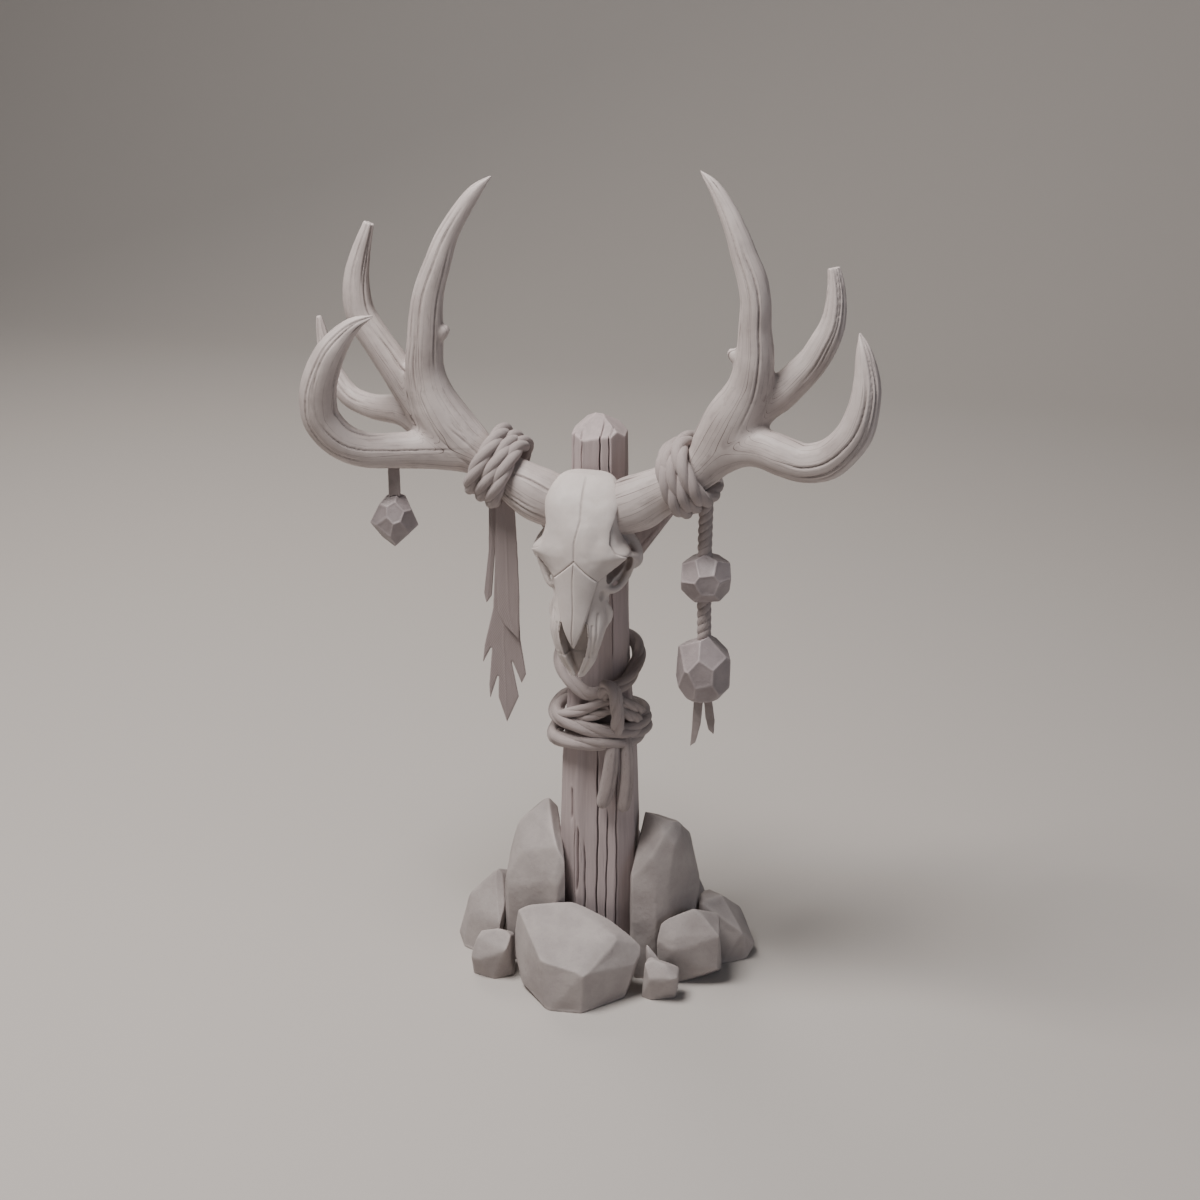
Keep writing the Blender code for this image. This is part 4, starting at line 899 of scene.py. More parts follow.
# Skull: a lofted head with its arches, sockets and openings, then carved
skullPlan = {
    "sides": 96, "step": 0.0015, "rawVoxel": 0.0014, "voxel": 0.00108, "rounds": 4,
    # height, front, half width, where it is widest, back, squareness in front
    "levels": (
        (0.6955, -0.052, 0.020, -0.044, -0.036, 2.2), (0.6920, -0.062, 0.032, -0.052, -0.035, 2.4),
        (0.6820, -0.077, 0.042, -0.062, -0.035, 2.8), (0.6680, -0.0885, 0.0472, -0.070, -0.035, 3.0),
        (0.6520, -0.0975, 0.0462, -0.076, -0.035, 3.0), (0.6390, -0.1045, 0.0452, -0.080, -0.035, 2.8),
        (0.6220, -0.1105, 0.0495, -0.086, -0.035, 2.3), (0.6080, -0.1140, 0.0612, -0.089, -0.036, 1.75),
        (0.6000, -0.1155, 0.0570, -0.084, -0.037, 1.7), (0.5840, -0.1170, 0.0450, -0.078, -0.040, 1.8),
        (0.5680, -0.1182, 0.0380, -0.076, -0.046, 2.0), (0.5540, -0.1190, 0.0345, -0.082, -0.052, 2.0),
        (0.5400, -0.1200, 0.0335, -0.086, -0.056, 2.0), (0.5200, -0.1215, 0.0352, -0.096, -0.060, 1.9),
        (0.5050, -0.1205, 0.0332, -0.101, -0.066, 1.9), (0.4880, -0.1165, 0.0285, -0.103, -0.074, 2.0),
        (0.4700, -0.1105, 0.0222, -0.101, -0.083, 2.0), (0.4580, -0.1065, 0.0150, -0.098, -0.089, 2.0),
        (0.4485, -0.1040, 0.0080, -0.098, -0.093, 2.0),
    ),
    # half width of the smooth front plates at each height, which stand proud of what is beside them
    "plates": (
        (0.7000, 0.000), (0.6980, 0.020), (0.6930, 0.031), (0.6830, 0.0410), (0.6680, 0.0462), (0.6520, 0.0435),
        (0.6390, 0.0398), (0.6240, 0.0402), (0.6130, 0.0480), (0.6060, 0.0605), (0.5990, 0.0530),
        (0.5880, 0.0405), (0.5775, 0.0275), (0.5620, 0.0235), (0.5450, 0.0195), (0.5310, 0.0160),
        (0.5170, 0.0120), (0.5060, 0.0075), (0.4940, 0.0020),
    ),
    "plateDrop": 0.0033, "plateFade": 0.014,
    "dish": (0.0265, 0.632, 0.017, 0.0024),
    "midline": ((0.0, 0.702), (0.002, 0.670), (0.0035, 0.650), (-0.001, 0.625), (0.0, 0.603)),
    "seam": ((-0.0270, 0.5775), (-0.0130, 0.5905), (0.0, 0.603), (0.0130, 0.5905), (0.0270, 0.5775)),
    "nasalLine": ((0.0, 0.603), (-0.0008, 0.560), (0.0, 0.500)),
    "seamDepth": 0.0016, "seamWide": 0.0015,
    "cheek": (
        (0.0580, -0.0600, 0.5840, 0.0050), (0.0640, -0.0550, 0.5910, 0.0060), (0.0610, -0.0490, 0.6030, 0.0062),
        (0.0500, -0.0460, 0.6160, 0.0080), (0.0340, -0.0460, 0.6280, 0.0100),
    ),
    "rim": (
        (0.0300, -0.0930, 0.5655, 0.0054), (0.0350, -0.0870, 0.5605, 0.0052), (0.0395, -0.0810, 0.5590, 0.0048),
        (0.0450, -0.0740, 0.5610, 0.0046), (0.0505, -0.0680, 0.5680, 0.0046), (0.0545, -0.0650, 0.5775, 0.0047),
        (0.0580, -0.0650, 0.5880, 0.0052), (0.0605, -0.0620, 0.5940, 0.0052),
    ),
    # corners of the flat process behind each socket
    "blade": (
        (0.0590, -0.0850, 0.6075), (0.0655, -0.0570, 0.6000), (0.0690, -0.0530, 0.5945), (0.0685, -0.0550, 0.5870),
        (0.0570, -0.0640, 0.5800), (0.0555, -0.0750, 0.6000), (0.0500, -0.0800, 0.6100), (0.0600, -0.0520, 0.6010),
        (0.0640, -0.0500, 0.5880),
    ),
    # corners of the wall that closes each socket behind
    "wall": (
        (0.0340, -0.0780, 0.5640), (0.0480, -0.0640, 0.5680), (0.0560, -0.0560, 0.5820), (0.0600, -0.0540, 0.5980),
        (0.0540, -0.0620, 0.6080), (0.0400, -0.0480, 0.6060), (0.0340, -0.0480, 0.5720), (0.0500, -0.0480, 0.5900),
    ),
    "tuber": ((0.0290, -0.089, 0.548, 0.0040), (0.0355, -0.084, 0.529, 0.0058), (0.0310, -0.089, 0.513, 0.0040)),
    "orbit": {"middle": (0.0465, -0.0800, 0.5860), "along": (0.670, 0.287, 0.683), "way": (0.709, -0.520, -0.476),
              "halves": (0.0210, 0.0142, 0.0205)},
    # outline of the nose opening's right half, then how far back it goes
    "nose": (
        (0.0150, 0.5250), (0.0172, 0.5120), (0.0160, 0.4970), (0.0125, 0.4820), (0.0080, 0.4690),
        (0.0040, 0.4590), (0.0016, 0.4520), (0.0014, 0.4400),
    ),
    "noseBack": -0.0930,
    "pit": {"middle": (0.0330, -0.0990, 0.5560), "halves": (0.0045, 0.0060, 0.0080)},
    "ridges": (((0.0235, 0.522), (0.0225, 0.498), (0.0165, 0.474), (0.0080, 0.456)),
               ((0.0290, 0.536), (0.0285, 0.510), (0.0225, 0.485))),
    "teeth": 6, "toothSize": 0.0044,
}


def skullLevel(z):
    rows = smoothRows(skullPlan["levels"], 6)[::-1]
    return [np.interp(z, rows[:, 0], rows[:, column]) for column in range(1, 6)]


def faceY(x, z):
    front, half, middle, _, square = skullLevel(z)
    share = np.minimum(np.abs(x) / half, 1.0)
    return middle + (front - middle) * (1 - share**square) ** (1 / square)


def plateHalf(z):
    rows = np.array(skullPlan["plates"])[::-1]
    return np.interp(z, rows[:, 0], rows[:, 1], left=0.0, right=0.0)


def lineDistance(points, line):
    # how far each point is, seen from the front, from a line of (x, z) places
    flat = points[:, [0, 2]]
    best = np.full(len(flat), np.inf)
    for start, end in zip(np.array(line), np.array(line)[1:]):
        way = end - start
        share = np.clip(((flat - start) @ way) / (way @ way), 0, 1)
        best = np.minimum(best, np.linalg.norm(flat - start - share[:, None] * way, axis=1))
    return best


def mirrored(rows, side):
    rows = np.array(rows, float)
    rows[:, 0] *= side
    return rows


def addHull(mesh, corners):
    verts = [mesh.verts.new(corner) for corner in corners]
    made = bmesh.ops.convex_hull(mesh, input=verts)
    spare = {item for item in made["geom_interior"] + made["geom_unused"] if isinstance(item, bmesh.types.BMVert)}
    bmesh.ops.delete(mesh, geom=list(spare), context="VERTS")


def addBall(mesh, middle, axes, halves, level=4):
    made = bmesh.ops.create_icosphere(mesh, subdivisions=level, radius=1.0)
    for vert in made["verts"]:
        vert.co = Vector(middle) + sum((Vector(axes[k]) * halves[k] * vert.co[k] for k in range(3)), Vector())


def addPrism(mesh, outline, front, back):
    here, there = ([mesh.verts.new((x, y, z)) for x, z in outline] for y in (front, back))
    count = len(outline)
    mesh.faces.new(here)
    mesh.faces.new(there[::-1])
    for j in range(count):
        mesh.faces.new((here[j], there[j], there[(j + 1) % count], here[(j + 1) % count]))


def addTeeth(mesh, side):
    plan = skullPlan
    dice = random.Random(4)
    for i in range(plan["teeth"]):
        z = 0.5430 - i * 0.0090
        x = side * (0.0240 - 0.0009 * i)
        back = float(skullLevel(z)[3])
        tall = 0.0095 * dice.uniform(0.9, 1.1)
        loops = []
        for depth, share in ((-0.012, 1.0), (0.0, 1.05), (tall * 0.6, 1.0), (tall, 0.78)):
            size = plan["toothSize"] * share
            loops.append([(x + a * size * 0.95, back + depth - 0.0015 * a * a * share * (depth > 0), z + b * size)
                          for a, b in squareRound(3.0, 16)])
        addTube(mesh, loops)


def rawSkull():
    plan = skullPlan
    raw = bmesh.new()
    loops = []
    for z in np.arange(plan["levels"][-1][0], plan["levels"][0][0], plan["step"]):
        front, half, middle, back, square = skullLevel(z)
        turn = 2 * math.pi * (np.arange(plan["sides"]) + 0.5) / plan["sides"]
        side, ahead = np.cos(turn), np.sin(turn)
        power = 2 / np.where(ahead > 0, square, 2.4)
        x = half * np.sign(side) * np.abs(side) ** power
        y = middle + np.abs(ahead) ** power * (np.where(ahead > 0, front, back) - middle)
        loops.append(np.column_stack((x, y, np.full(len(x), z))))
    addTube(raw, loops)
    for side in (-1, 1):
        for part in ("cheek", "tuber", "rim"):
            tube, *_ = ringsAlong(smoothRows(mirrored(plan[part], side), 5), 20, 0.85)
            addTube(raw, tube)
        addHull(raw, mirrored(plan["blade"], side))
        addHull(raw, mirrored(plan["wall"], side))
        addTeeth(raw, side)
    return remeshed(objectOf("skull", raw), plan["rawVoxel"], 3)


def skullCutter():
    plan = skullPlan
    cutter = bmesh.new()
    for side in (-1, 1):
        orbit = plan["orbit"]
        along, way = (unit(mirrored([orbit[key]], side)[0]) for key in ("along", "way"))
        addBall(cutter, mirrored([orbit["middle"]], side)[0], (along, np.cross(way, along), way), orbit["halves"])
        addBall(cutter, mirrored([plan["pit"]["middle"]], side)[0], np.eye(3), plan["pit"]["halves"], 3)
    outline = list(plan["nose"]) + [(-x, z) for x, z in reversed(plan["nose"])]
    addPrism(cutter, outline, -0.14, plan["noseBack"])
    return objectOf("cutter", cutter)


def cutFrom(obj, cutter):
    modifier = obj.modifiers.new("cut", "BOOLEAN")
    modifier.operation = "DIFFERENCE"
    modifier.solver = "EXACT"
    modifier.object = cutter
    applied(obj)
    bpy.data.objects.remove(cutter)
    return obj


def carveSkull(obj):
    plan = skullPlan
    points, normals = readPoints(obj)
    x, y, z = np.abs(points[:, 0]), points[:, 1], points[:, 2]
    edge = plateHalf(z)
    beyond = np.maximum(x - edge, y - faceY(edge, z) - 0.0005)
    ahead = eased((-0.050 - y) / 0.02) * (z < 0.7) * (z > 0.478)
    step = eased(beyond / 0.0013) * np.exp(-np.maximum(beyond, 0) / plan["plateFade"])
    depth = plan["plateDrop"] * step * ahead * eased((0.7 - z) / 0.02)
    facing = eased((-normals[:, 1] - 0.2) * 2)
    for line, share in ((plan["midline"], 1.1), (plan["seam"], 1.1)):
        away = lineDistance(points, line)
        depth += facing * share * plan["seamDepth"] * (1 - eased(away / plan["seamWide"]))
    mirroredPoints = np.column_stack((x, y, z))
    for line in plan["ridges"]:
        away = lineDistance(mirroredPoints, line)
        depth += eased(-normals[:, 1] * 3) * 0.0012 * (1 - eased(away / 0.0022))
    across, height, reach, deep = plan["dish"]
    away = np.hypot((x - across) / reach, (z - height) / (reach * 1.7))
    depth += deep * (1 - eased(away)) * eased(-normals[:, 1] * 2)
    depth += 0.0004 * softNoise(points, 0.022, 4) + 0.0002 * softNoise(points, 0.007, 6)
    sink(obj, depth)


def paintSocketShade(obj):
    # painted shade: the sockets' floors count as deep hollows, so the finish paints them dark
    points, _ = readPoints(obj)
    orbit = skullPlan["orbit"]
    local = np.column_stack((np.abs(points[:, 0]), points[:, 1], points[:, 2])) - orbit["middle"]
    along, way = unit(np.array(orbit["along"])), unit(np.array(orbit["way"]))
    sizes = [local @ axis / half for axis, half in zip((along, np.cross(way, along), way), orbit["halves"])]
    inside = np.linalg.norm(sizes, axis=0)
    deep = (1 - eased((inside - 0.98) / 0.10)) * eased((0.95 - sizes[2]) / 0.5)
    hollow = np.empty(len(points), np.float32)
    values = obj.data.attributes["hollow"].data
    values.foreach_get("value", hollow)
    values.foreach_set("value", np.maximum(hollow, 0.5 + 0.5 * deep).astype(np.float32))


def makeSkull():
    plan = skullPlan
    obj = remeshed(cutFrom(rawSkull(), skullCutter()), plan["voxel"], plan["rounds"])
    carveSkull(obj)
    finishPiece(obj, finishOf["bone"], ["skull_cranium", "skull_muzzle"])
    paintSocketShade(obj)


# Nasal plate: one bevelled sheet of bone over the muzzle
nasalPlan = {"columns": 61, "rows": 130, "thick": 0.0046, "bevel": 0.0014, "proud": 0.0010}


def makeNasalPlate():
    plan = nasalPlan
    rows = np.array([row for row in skullPlan["plates"] if row[0] < 0.58])[::-1]
    points, faces = [], []
    shares = np.linspace(-1, 1, plan["columns"])
    heights = np.linspace(rows[0, 0] - 0.002, 0.6025, plan["rows"])
    for z in heights:
        half = np.interp(z, rows[:, 0], rows[:, 1], left=0.0012)
        half = min(half, max(0.0004, (0.6025 - z) * 0.0270 / 0.0250)) - 0.0003
        x = shares * half
        inset = half - np.abs(x)
        ends = min(z - heights[0], 1.0)
        bevel = plan["bevel"] * (1 - eased(np.minimum(inset, ends) / plan["bevel"])) ** 1.5
        crown = 0.0008 * (1 - shares**2)
        line = 0.0014 * (1 - eased(np.abs(x + 0.0006 * np.sin(z * 90)) / 0.0014))
        y = faceY(x, z) - plan["proud"] - crown + bevel + line
        points += [(a, b, z) for a, b in zip(x, y)]
    front = len(points)
    points += [(a, b + plan["thick"], c) for a, b, c in points]
    columns, count = plan["columns"], plan["rows"]
    for i in range(count - 1):
        for j in range(columns - 1):
            a, b = i * columns + j, (i + 1) * columns + j
            faces.append((a, a + 1, b + 1, b))
            faces.append((front + a, front + b, front + b + 1, front + a + 1))
    border = [i * columns for i in range(count)]
    border += [(count - 1) * columns + j for j in range(1, columns)]
    border += [i * columns + columns - 1 for i in range(count - 2, -1, -1)]
    border += list(range(columns - 2, 0, -1))
    for here, there in zip(border, border[1:] + border[:1]):
        faces.append((here, there, front + there, front + here))
    obj = pieceFrom("nasalPlate", points, faces)
    mesh = bmesh.new()
    mesh.from_mesh(obj.data)
    bmesh.ops.recalc_face_normals(mesh, faces=mesh.faces)
    mesh.to_mesh(obj.data)
    mesh.free()
    return finishPiece(obj, finishOf["bone"], ["skull_nasal"], 5, 0.0014)


makeSkull()
makeNasalPlate()


# Post: split faces, long cracks and a chopped top
postPlan = {
    "square": 2.8, "columns": 420, "rows": 190, "top": 0.755, "topStart": 0.690, "seed": 5, "turn": 8.0,
    "chips": (
        ((0.000, 0.000, 0.752), (0.10, -0.05, 1.0)), ((0.000, -0.020, 0.738), (-0.10, -0.75, 1.0)),
        ((-0.020, 0.000, 0.742), (-0.80, -0.10, 1.0)), ((0.018, 0.000, 0.742), (0.75, 0.20, 1.0)),
        ((0.000, 0.020, 0.744), (0.05, 0.60, 1.0)),
    ),
    # cracks seen in front: place across the face, low end, high end, half width, depth
    "frontCracks": (
        (-0.0150, 0.500, 0.765, 0.0013, 0.007), (0.0080, 0.480, 0.775, 0.0013, 0.007),
        (0.0210, 0.540, 0.770, 0.0013, 0.006), (0.0090, -0.020, 0.335, 0.0015, 0.006),
        (0.0350, -0.020, 0.300, 0.0015, 0.006), (-0.0290, 0.218, 0.264, 0.0030, 0.006),
        (0.0220, 0.000, 0.250, 0.0013, 0.005), (-0.0080, -0.020, 0.200, 0.0013, 0.005),
        (-0.0220, -0.020, 0.235, 0.0014, 0.005),
        (-0.0180, 0.115, 0.215, 0.0026, 0.006), (0.0250, 0.440, 0.560, 0.0012, 0.004),
        (-0.0460, 0.375, 0.450, 0.0024, 0.005), (-0.0410, 0.385, 0.440, 0.0018, 0.004),
        (-0.0360, 0.370, 0.425, 0.0014, 0.003),
    ),
    "otherCracks": 34,
}


def topHeight(x, y):
    height = np.full(np.shape(x), postPlan["top"])
    for point, normal in postPlan["chips"]:
        fall = (normal[0] * (x - point[0]) + normal[1] * (y - point[1])) / normal[2]
        height = np.minimum(height, point[2] - fall)
    return height


def topCracks(points):
    # the front cracks run on up the chopped top
    depth = np.zeros(len(points))
    for place, _, high, wide, deep in postPlan["frontCracks"]:
        if high > postPlan["top"]:
            apart = np.abs(points[:, 0] - place - 0.0008 * np.sin(points[:, 1] * 90 + place * 400))
            reach = eased((-0.010 - points[:, 1] + (high - 0.770) * 1.2) / 0.008)
            depth = np.maximum(depth, 0.5 * deep * (1 - eased(apart / wide)) * reach)
    return depth


def postOutline(columns):
    # eight flat faces with softened corners, as shares of the half sizes, from the front round to the right
    corners = squareRound(postPlan["square"], 8)
    order = np.roll(np.arange(8), -5)
    corners = np.vstack((corners[order], corners[order][:1]))
    steps = np.concatenate(([0], np.linalg.norm(np.diff(corners, axis=0), axis=1).cumsum()))
    places = (np.linspace(0, 1, columns, endpoint=False)) * steps[-1]
    outline = np.column_stack([np.interp(places, steps, corners[:, axis]) for axis in (0, 1)])
    soft = sum(np.roll(outline, shift, axis=0) for shift in range(-2, 3)) / 5
    turn = math.radians(postPlan["turn"])
    return soft @ np.array(((math.cos(turn), math.sin(turn)), (-math.sin(turn), math.cos(turn))))


def makePost():
    plan = postPlan
    dice = random.Random(plan["seed"])
    outline = postOutline(plan["columns"])
    heights = np.linspace(0, plan["top"], plan["rows"])
    halves = np.array([postHalf(z) for z in heights])
    shape = outline[None] * halves[:, None]
    x, y = shape[..., 0], shape[..., 1]
    z = np.repeat(heights[:, None], plan["columns"], axis=1)
    across = np.concatenate((np.zeros((plan["rows"], 1)),
                             np.hypot(np.diff(x, axis=1), np.diff(y, axis=1)).cumsum(axis=1)), axis=1)
    whole = across[:, -1:] + np.hypot(x[:, :1] - x[:, -1:], y[:, :1] - y[:, -1:])
    frontColumn = int(np.argmin(np.abs(outline[:, 0]) + 10 * (outline[:, 1] > 0)))
    across = across - across[:, frontColumn:frontColumn + 1]
    across = (across + whole / 2) % whole - whole / 2
    cracks = list(plan["frontCracks"])
    for _ in range(plan["otherCracks"]):
        start, span = dice.uniform(0.0, 0.62), dice.uniform(0.06, 0.28)
        place = dice.uniform(0.045, 0.235)
        cracks.append((place, start, start + span, dice.uniform(0.0010, 0.0018), dice.uniform(0.002, 0.006)))
    depth = np.zeros_like(x)
    for number, (place, low, high, wide, deep) in enumerate(cracks):
        share = (z - low) / (high - low)
        middle = place + 0.0007 * np.sin(z * 34 + number * 2.3) + 0.0004 * np.sin(z * 120 + number)
        apart = np.abs((across - middle + whole / 2) % whole - whole / 2)
        ends = eased(share * 8) * eased((1 - share) * 8)
        depth = np.maximum(depth, deep * ends * (1 - eased(apart / (wide * (0.4 + 0.6 * ends)))))
    points = np.stack((x, y, z), axis=-1)
    flat = points.reshape(-1, 3)
    grain = softNoise(flat * (1, 1, 0.05), 0.0035, 3) * 0.00022
    adze = (softNoise(flat * (1, 1, 0.25), 0.020, 9) + 1) * 0.0004
    planks = (softNoise(flat * (1, 1, 0.02), 0.014, 12) + 1) * 0.0005
    depth = depth.ravel() + grain + adze + planks + 0.0003
    outward = unit(np.column_stack((flat[:, 0], flat[:, 1], np.zeros(len(flat)))))
    flat = flat - outward * depth[:, None]
    lift = np.clip((flat[:, 2] - plan["topStart"]) / (plan["top"] - plan["topStart"]), 0, 1)
    ceiling = topHeight(flat[:, 0], flat[:, 1])
    flat[:, 2] -= lift * (plan["top"] - ceiling)
    rows, columns = plan["rows"], plan["columns"]
    points = [tuple(point) for point in flat]
    faces = []
    for i in range(rows - 1):
        for j in range(columns):
            after = (j + 1) % columns
            faces.append((i * columns + j, i * columns + after, (i + 1) * columns + after, (i + 1) * columns + j))
    edge = list(range((rows - 1) * columns, rows * columns))
    rim = flat[edge]
    middle = rim.mean(axis=0)
    for share in np.arange(0.96, 0.02, -0.04):
        inner = middle + (rim - middle) * share
        inner[:, 2] = topHeight(inner[:, 0], inner[:, 1]) - topCracks(inner)
        first = len(points)
        points += [tuple(point) for point in inner]
        made = list(range(first, first + columns))
        for j in range(columns):
            after = (j + 1) % columns
            faces.append((edge[j], edge[after], made[after], made[j]))
        edge = made
    for ring, height in ((edge, None), (list(range(columns)), 0.0)):
        centre = len(points)
        place = middle if height is None else (0.0, 0.0, 0.0)
        points.append((place[0], place[1], topHeight(place[0], place[1]) if height is None else 0.0))
        for j in range(columns):
            after = (j + 1) % columns
            faces.append((ring[j], ring[after], centre) if height is None else (ring[after], ring[j], centre))
    obj = pieceFrom("timberPost", points, faces)
    return finishPiece(obj, finishOf["timber"], ["post"], 5, 0.0022)


makePost()


# Struts behind the antlers: split planks with deep grain
strutPlan = {
    "voxel": 0.0011, "depth": 0.0012,
    "left": ((-0.028, 0.002, 0.578), (-0.122, -0.0108, 0.683)),
    "right": ((0.028, 0.002, 0.572), (0.122, -0.0108, 0.692)),
}


def makeStrut(side):
    start, end = (np.array(place) for place in strutPlan[side])
    way = unit(end - start)
    side1 = unit(np.cross(way, forward))
    side2 = np.cross(way, side1)
    obj = remeshed(nodeCopy(f"strut{side.capitalize()}", [f"strut_{side}"]), strutPlan["voxel"], 2)
    points, _ = readPoints(obj)
    local = np.column_stack(((points - start) @ side1, (points - start) @ side2, (points - start) @ way * 0.06))
    grain = softNoise(local, 0.0030, 4)
    sink(obj, (np.clip(grain, 0, 1) * 1.6 + 0.2) * strutPlan["depth"])
    return finishPiece(obj, finishOf["timber"], [f"strut_{side}"], 4, 0.0016)


for side in ("left", "right"):
    makeStrut(side)


# Rocks and beads: flat faces with soft worn edges, from the CAD body's own planes
def planesOf(node):
    mesh = frame["nodes"][node].data
    planes = {}
    for face in mesh.polygons:
        normal = np.array(face.normal)
        offset = float(normal @ np.array(face.center))
        key = tuple(np.round((*normal, offset * 20), 2))
        planes[key] = (normal, offset)
    return (np.array([plane[0] for plane in planes.values()]),
            np.array([plane[1] for plane in planes.values()]))


def roundBody(name, middle, normals, offsets, soft, level):
    # a ball blown out until it meets the planes, with its edges rounded by soft
    ball = bmesh.new()
    bmesh.ops.create_icosphere(ball, subdivisions=level, radius=1.0)
    ways = unit(np.array([vert.co for vert in ball.verts]))
    slopes = ways @ normals.T
    room = offsets - normals @ middle
    reach = np.where(slopes > 1e-6, room / np.maximum(slopes, 1e-6), np.inf).min(axis=1)
    for _ in range(14):
        fill = (slopes * reach[:, None] - room) / soft
        top = fill.max(axis=1, keepdims=True)
        weight = np.exp(fill - top)
        value = soft * (top[:, 0] + np.log(weight.sum(axis=1)))
        slope = (weight * slopes).sum(axis=1) / weight.sum(axis=1)
        reach = np.maximum(reach - value / np.maximum(slope, 0.15), 1e-4)
    points = middle + ways * reach[:, None]
    for vert, point in zip(ball.verts, points):
        vert.co = point
    obj = objectOf(name, ball)
    gaps = np.sort(points @ normals.T - offsets, axis=1)
    return obj, gaps[:, -1] - gaps[:, -2]


def chippedPlanes(body, corners, dice, share, cut, size):
    # one plane to each face, and one more along some of the edges
    corners = np.array(corners)
    normals = [np.array(face.normal) for face in body.faces]
    offsets = [float((corners @ normal).max()) for normal in normals]
    for edge in body.edges:
        first, second = (np.array(face.normal) for face in edge.link_faces)
        lean = dice.uniform(0.3, 0.7)
        if first @ second > 0.90 or dice.random() > share:
            continue
        normal = unit(first * lean + second * (1 - lean))
        if normal[2] < -0.3:
            continue
        middle = np.array((edge.verts[0].co + edge.verts[1].co) / 2)
        normals.append(normal)
        offsets.append(float(normal @ middle) - size * dice.uniform(*cut) * min(1 - first @ second, 0.8))
    return np.array(normals), np.array(offsets)


rockPlan = {
    "soft": 0.0006, "scoop": 0.0013, "share": 0.6, "cut": (0.022, 0.060), "bigFrom": 0.10,
    # corners that lap over the foot of the post
    "lap": {"rock_tall_left": ((-0.030, -0.058, 0.186), (-0.027, -0.064, 0.112), (-0.040, -0.068, 0.142)),
            "rock_tall_right": ((0.047, -0.045, 0.150), (0.046, -0.044, 0.020))},
}


def makeRock(node):
    dice = random.Random(node)
    low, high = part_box(node)
    middle = (np.array(low) + np.array(high)) / 2
    corners = [tuple(vert.co) for vert in frame["nodes"][node].data.vertices]
    corners += rockPlan["lap"].get(node, ())
    middle = 0.5 * middle + 0.5 * np.mean(corners, axis=0)
    body = bmesh.new()
    addHull(body, corners)
    bmesh.ops.dissolve_limit(body, angle_limit=0.02, verts=body.verts, edges=body.edges)
    bmesh.ops.recalc_face_normals(body, faces=body.faces)
    size = max(np.array(high) - np.array(low))
    normals, offsets = chippedPlanes(body, corners, dice, rockPlan["share"], rockPlan["cut"], size)
    body.free()
    level = 7 if size > rockPlan["bigFrom"] else 6
    name = "".join(word.capitalize() if k else word for k, word in enumerate(node.split("_")))
    obj, edge = roundBody(name, middle, normals, offsets, rockPlan["soft"], level)
    points, _ = readPoints(obj)
    scoop = rockPlan["scoop"] * eased(edge / 0.014)
    rough = 0.0005 * (softNoise(points, 0.022, 1) + 1) + 0.00015 * (softNoise(points, 0.006, 2) + 1)
    grounded = eased(points[:, 2] / 0.004)
    sink(obj, (scoop + rough) * grounded)
    return finishPiece(obj, finishOf["stone"], [node], 6, 0.0020)


rockNodes = sorted(node for node in frame["nodes"] if node.startswith("rock_"))
for node in rockNodes:
    makeRock(node)


beadPlan = {"soft": 0.00045, "rim": 0.0007, "rimWide": 0.0022, "level": 6, "far": 1.10, "reach": 1.02}


def makeBead(name, node):
    low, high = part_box(node)
    normals, offsets = planesOf(node)
    middle, halves = (np.array(low) + np.array(high)) / 2, (np.array(high) - np.array(low)) / 2
    corners = np.array([vert.co for vert in frame["nodes"][node].data.vertices]) - middle
    far = np.linalg.norm(corners / halves, axis=1)
    ways = unit(corners[far > beadPlan["far"]] / halves)
    offcuts = ((corners[far > beadPlan["far"]] / far[far > beadPlan["far"], None] * beadPlan["reach"] + middle) * ways)
    normals, offsets = np.vstack((normals, ways)), np.concatenate((offsets, offcuts.sum(axis=1)))
    obj, edge = roundBody(name, middle, normals, offsets, beadPlan["soft"], beadPlan["level"])
    points, _ = readPoints(obj)
    rim = beadPlan["rim"] * eased(edge / beadPlan["rimWide"])
    sink(obj, rim + 0.00015 * (softNoise(points, 0.007, 3) + 1))
    return finishPiece(obj, finishOf["bead"], [node], 4, 0.0010)


beads = [makeBead("beadUpper", "bead_upper"), makeBead("beadLower", "bead_lower")]
makeBead("pendantDrop", "pendant_drop")


# Leather: the tails under the beads and the pendant's strap
def makeLeather(name, node):
    obj = remeshed(nodeCopy(name, [node]), 0.0006, 3)
    points, _ = readPoints(obj)
    sink(obj, 0.0002 * (softNoise(points, 0.006, 2) + 1))
    return finishPiece(obj, finishOf["leather"], [node], 5, 0.0010)


tails = [makeLeather("tasselLeft", "tassel_left"), makeLeather("tasselRight", "tassel_right")]
makeLeather("pendantStrap", "pendant_strap")


# Feathers: thin blades with a middle rib and slanting barbs
featherPlan = {"voxel": 0.0008, "barbs": 0.0042, "slant": 0.55}


def makeFeather(name, node):
    obj = remeshed(nodeCopy(name, [node]), featherPlan["voxel"], 12)
    points, normals = readPoints(obj)
    low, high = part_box(node)
    heights = np.linspace(low[2], high[2], 40)
    middles = []
    for z in heights:
        near = np.abs(points[:, 2] - z) < (heights[1] - heights[0])
        middles.append(0.5 * (points[near, 0].min() + points[near, 0].max()))
    rib = np.interp(points[:, 2], heights, np.convolve(np.pad(middles, 4, "edge"), np.ones(9) / 9, "valid"))
    aside = np.abs(points[:, 0] - rib)
    stripes = np.sin((points[:, 2] + aside * featherPlan["slant"] * 3) * 2 * math.pi / featherPlan["barbs"])
    flat = eased(np.abs(normals[:, 1]) * 1.5 - 0.4)
    depth = 0.00007 * (stripes + 1) * flat * eased(aside / 0.003) + 0.0004 * eased(aside / 0.0022) * flat
    sink(obj, depth)
    keepValue(obj, "barb", 0.5 + 0.5 * stripes)
    return finishPiece(obj, finishOf["feather"], [node], 4, 0.0010)


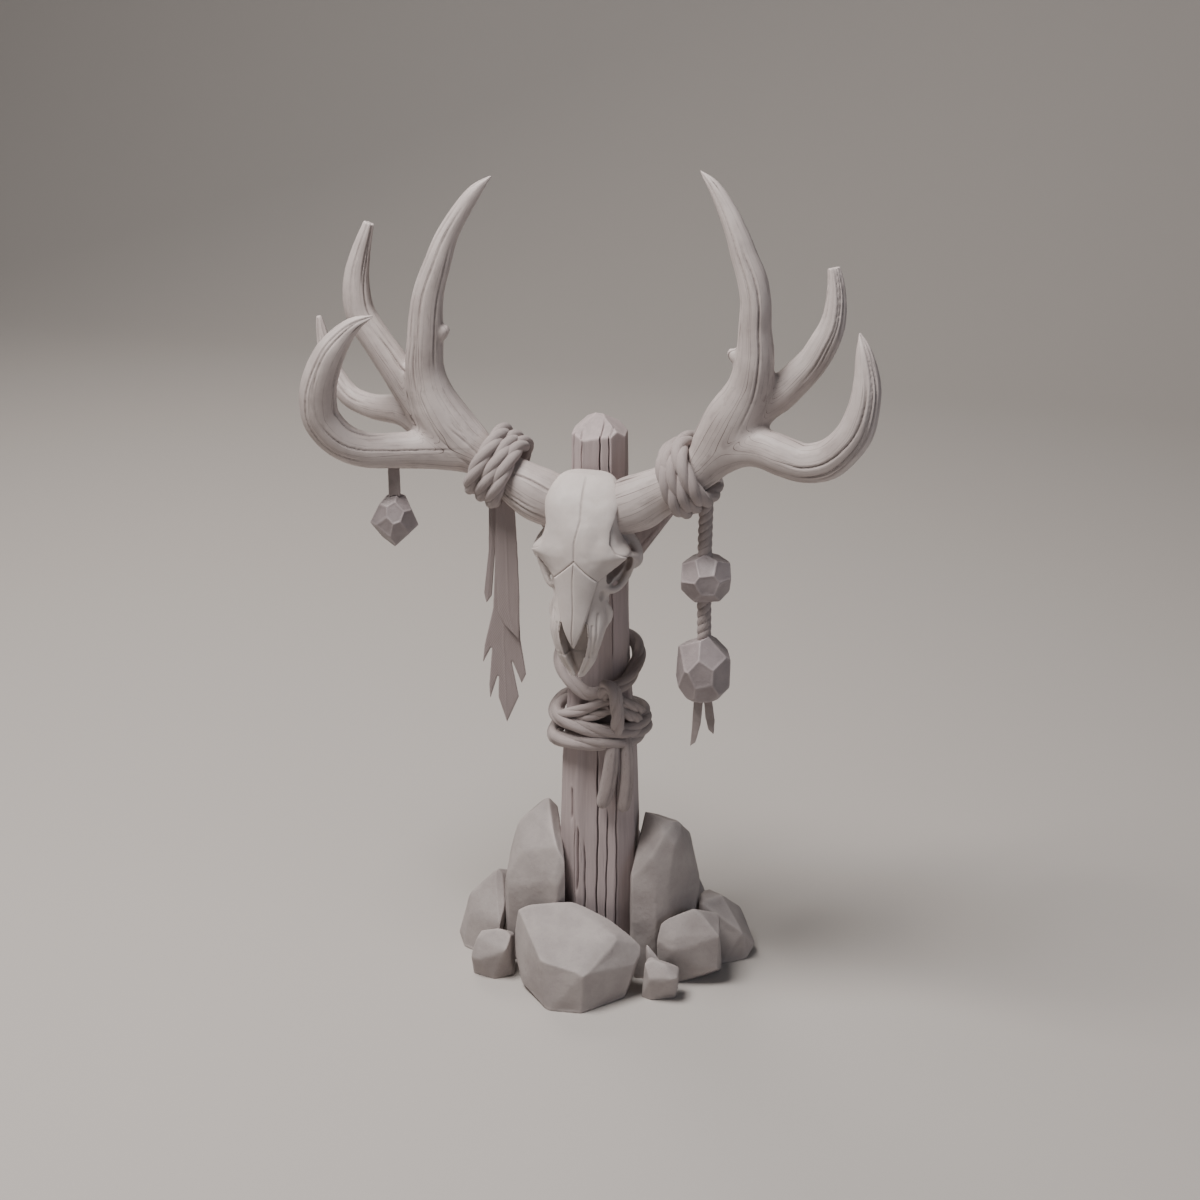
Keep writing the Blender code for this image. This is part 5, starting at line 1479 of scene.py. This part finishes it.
makeFeather("featherFront", "feather_front")
makeFeather("featherLong", "feather_long")
makeFeather("featherSide", "feather_side")


# Stage: a pale floor that turns up into a backdrop, and soft lights
stagePlan = {"front": -4.0, "bend": 2.6, "radius": 1.6, "wide": 7.0, "high": 5.0, "tone": (0.50, 0.465, 0.44)}


def makeStage():
    plan = stagePlan
    turn = np.linspace(0, math.pi / 2, 25)
    profile = [(plan["front"], 0.0)]
    profile += [(plan["bend"] + plan["radius"] * math.sin(a), plan["radius"] * (1 - math.cos(a))) for a in turn]
    profile.append((plan["bend"] + plan["radius"], plan["high"]))
    points = [(x, y, z) for y, z in profile for x in (-plan["wide"], plan["wide"])]
    faces = [(2 * i, 2 * i + 1, 2 * i + 3, 2 * i + 2) for i in range(len(profile) - 1)]
    paper = bpy.data.materials.new("paper")
    paper.use_nodes = True
    tree = paper.node_tree
    place = addNode(tree, "ShaderNodeTexCoord").outputs["Object"]
    tone = plan["tone"]
    colour = mixed(tree, noiseOf(tree, place, 3.0, 3.0), (*tone, 1), (*[part * 0.985 for part in tone], 1))
    tree.links.new(colour, tree.nodes["Principled BSDF"].inputs["Base Color"])
    tree.nodes["Principled BSDF"].inputs["Roughness"].default_value = 0.9
    floor = pieceFrom("floor", points, faces, paper)
    floor.data.shade_smooth()


lights = {
    "key": {"place": (-0.9, -1.0, 3.5), "size": 1.5, "power": 168.0, "tone": (1.0, 0.97, 0.94)},
    "fill": {"place": (2.6, -1.0, 1.2), "size": 2.0, "power": 9.0, "tone": (0.78, 0.86, 1.0)},
    "back": {"place": (-1.6, 1.8, 2.2), "size": 1.4, "power": 22.0, "tone": (1.0, 0.93, 0.86)},
}


def makeLights():
    for name, plan in lights.items():
        data = bpy.data.lights.new(name, "AREA")
        data.shape = "DISK"
        data.size = plan["size"]
        data.energy = plan["power"]
        data.color = plan["tone"]
        lamp = bpy.data.objects.new(name, data)
        lamp.location = plan["place"]
        aim = Vector((0, 0, 0.5)) - Vector(plan["place"])
        lamp.rotation_euler = aim.to_track_quat("-Z", "Y").to_euler()
        bpy.context.scene.collection.objects.link(lamp)
    world = bpy.data.worlds.new("studio")
    world.use_nodes = True
    world.node_tree.nodes["Background"].inputs["Color"].default_value = (0.80, 0.79, 0.80, 1)
    world.node_tree.nodes["Background"].inputs["Strength"].default_value = 0.10
    bpy.context.scene.world = world


makeStage()
makeLights()
print("stage and lights ready")
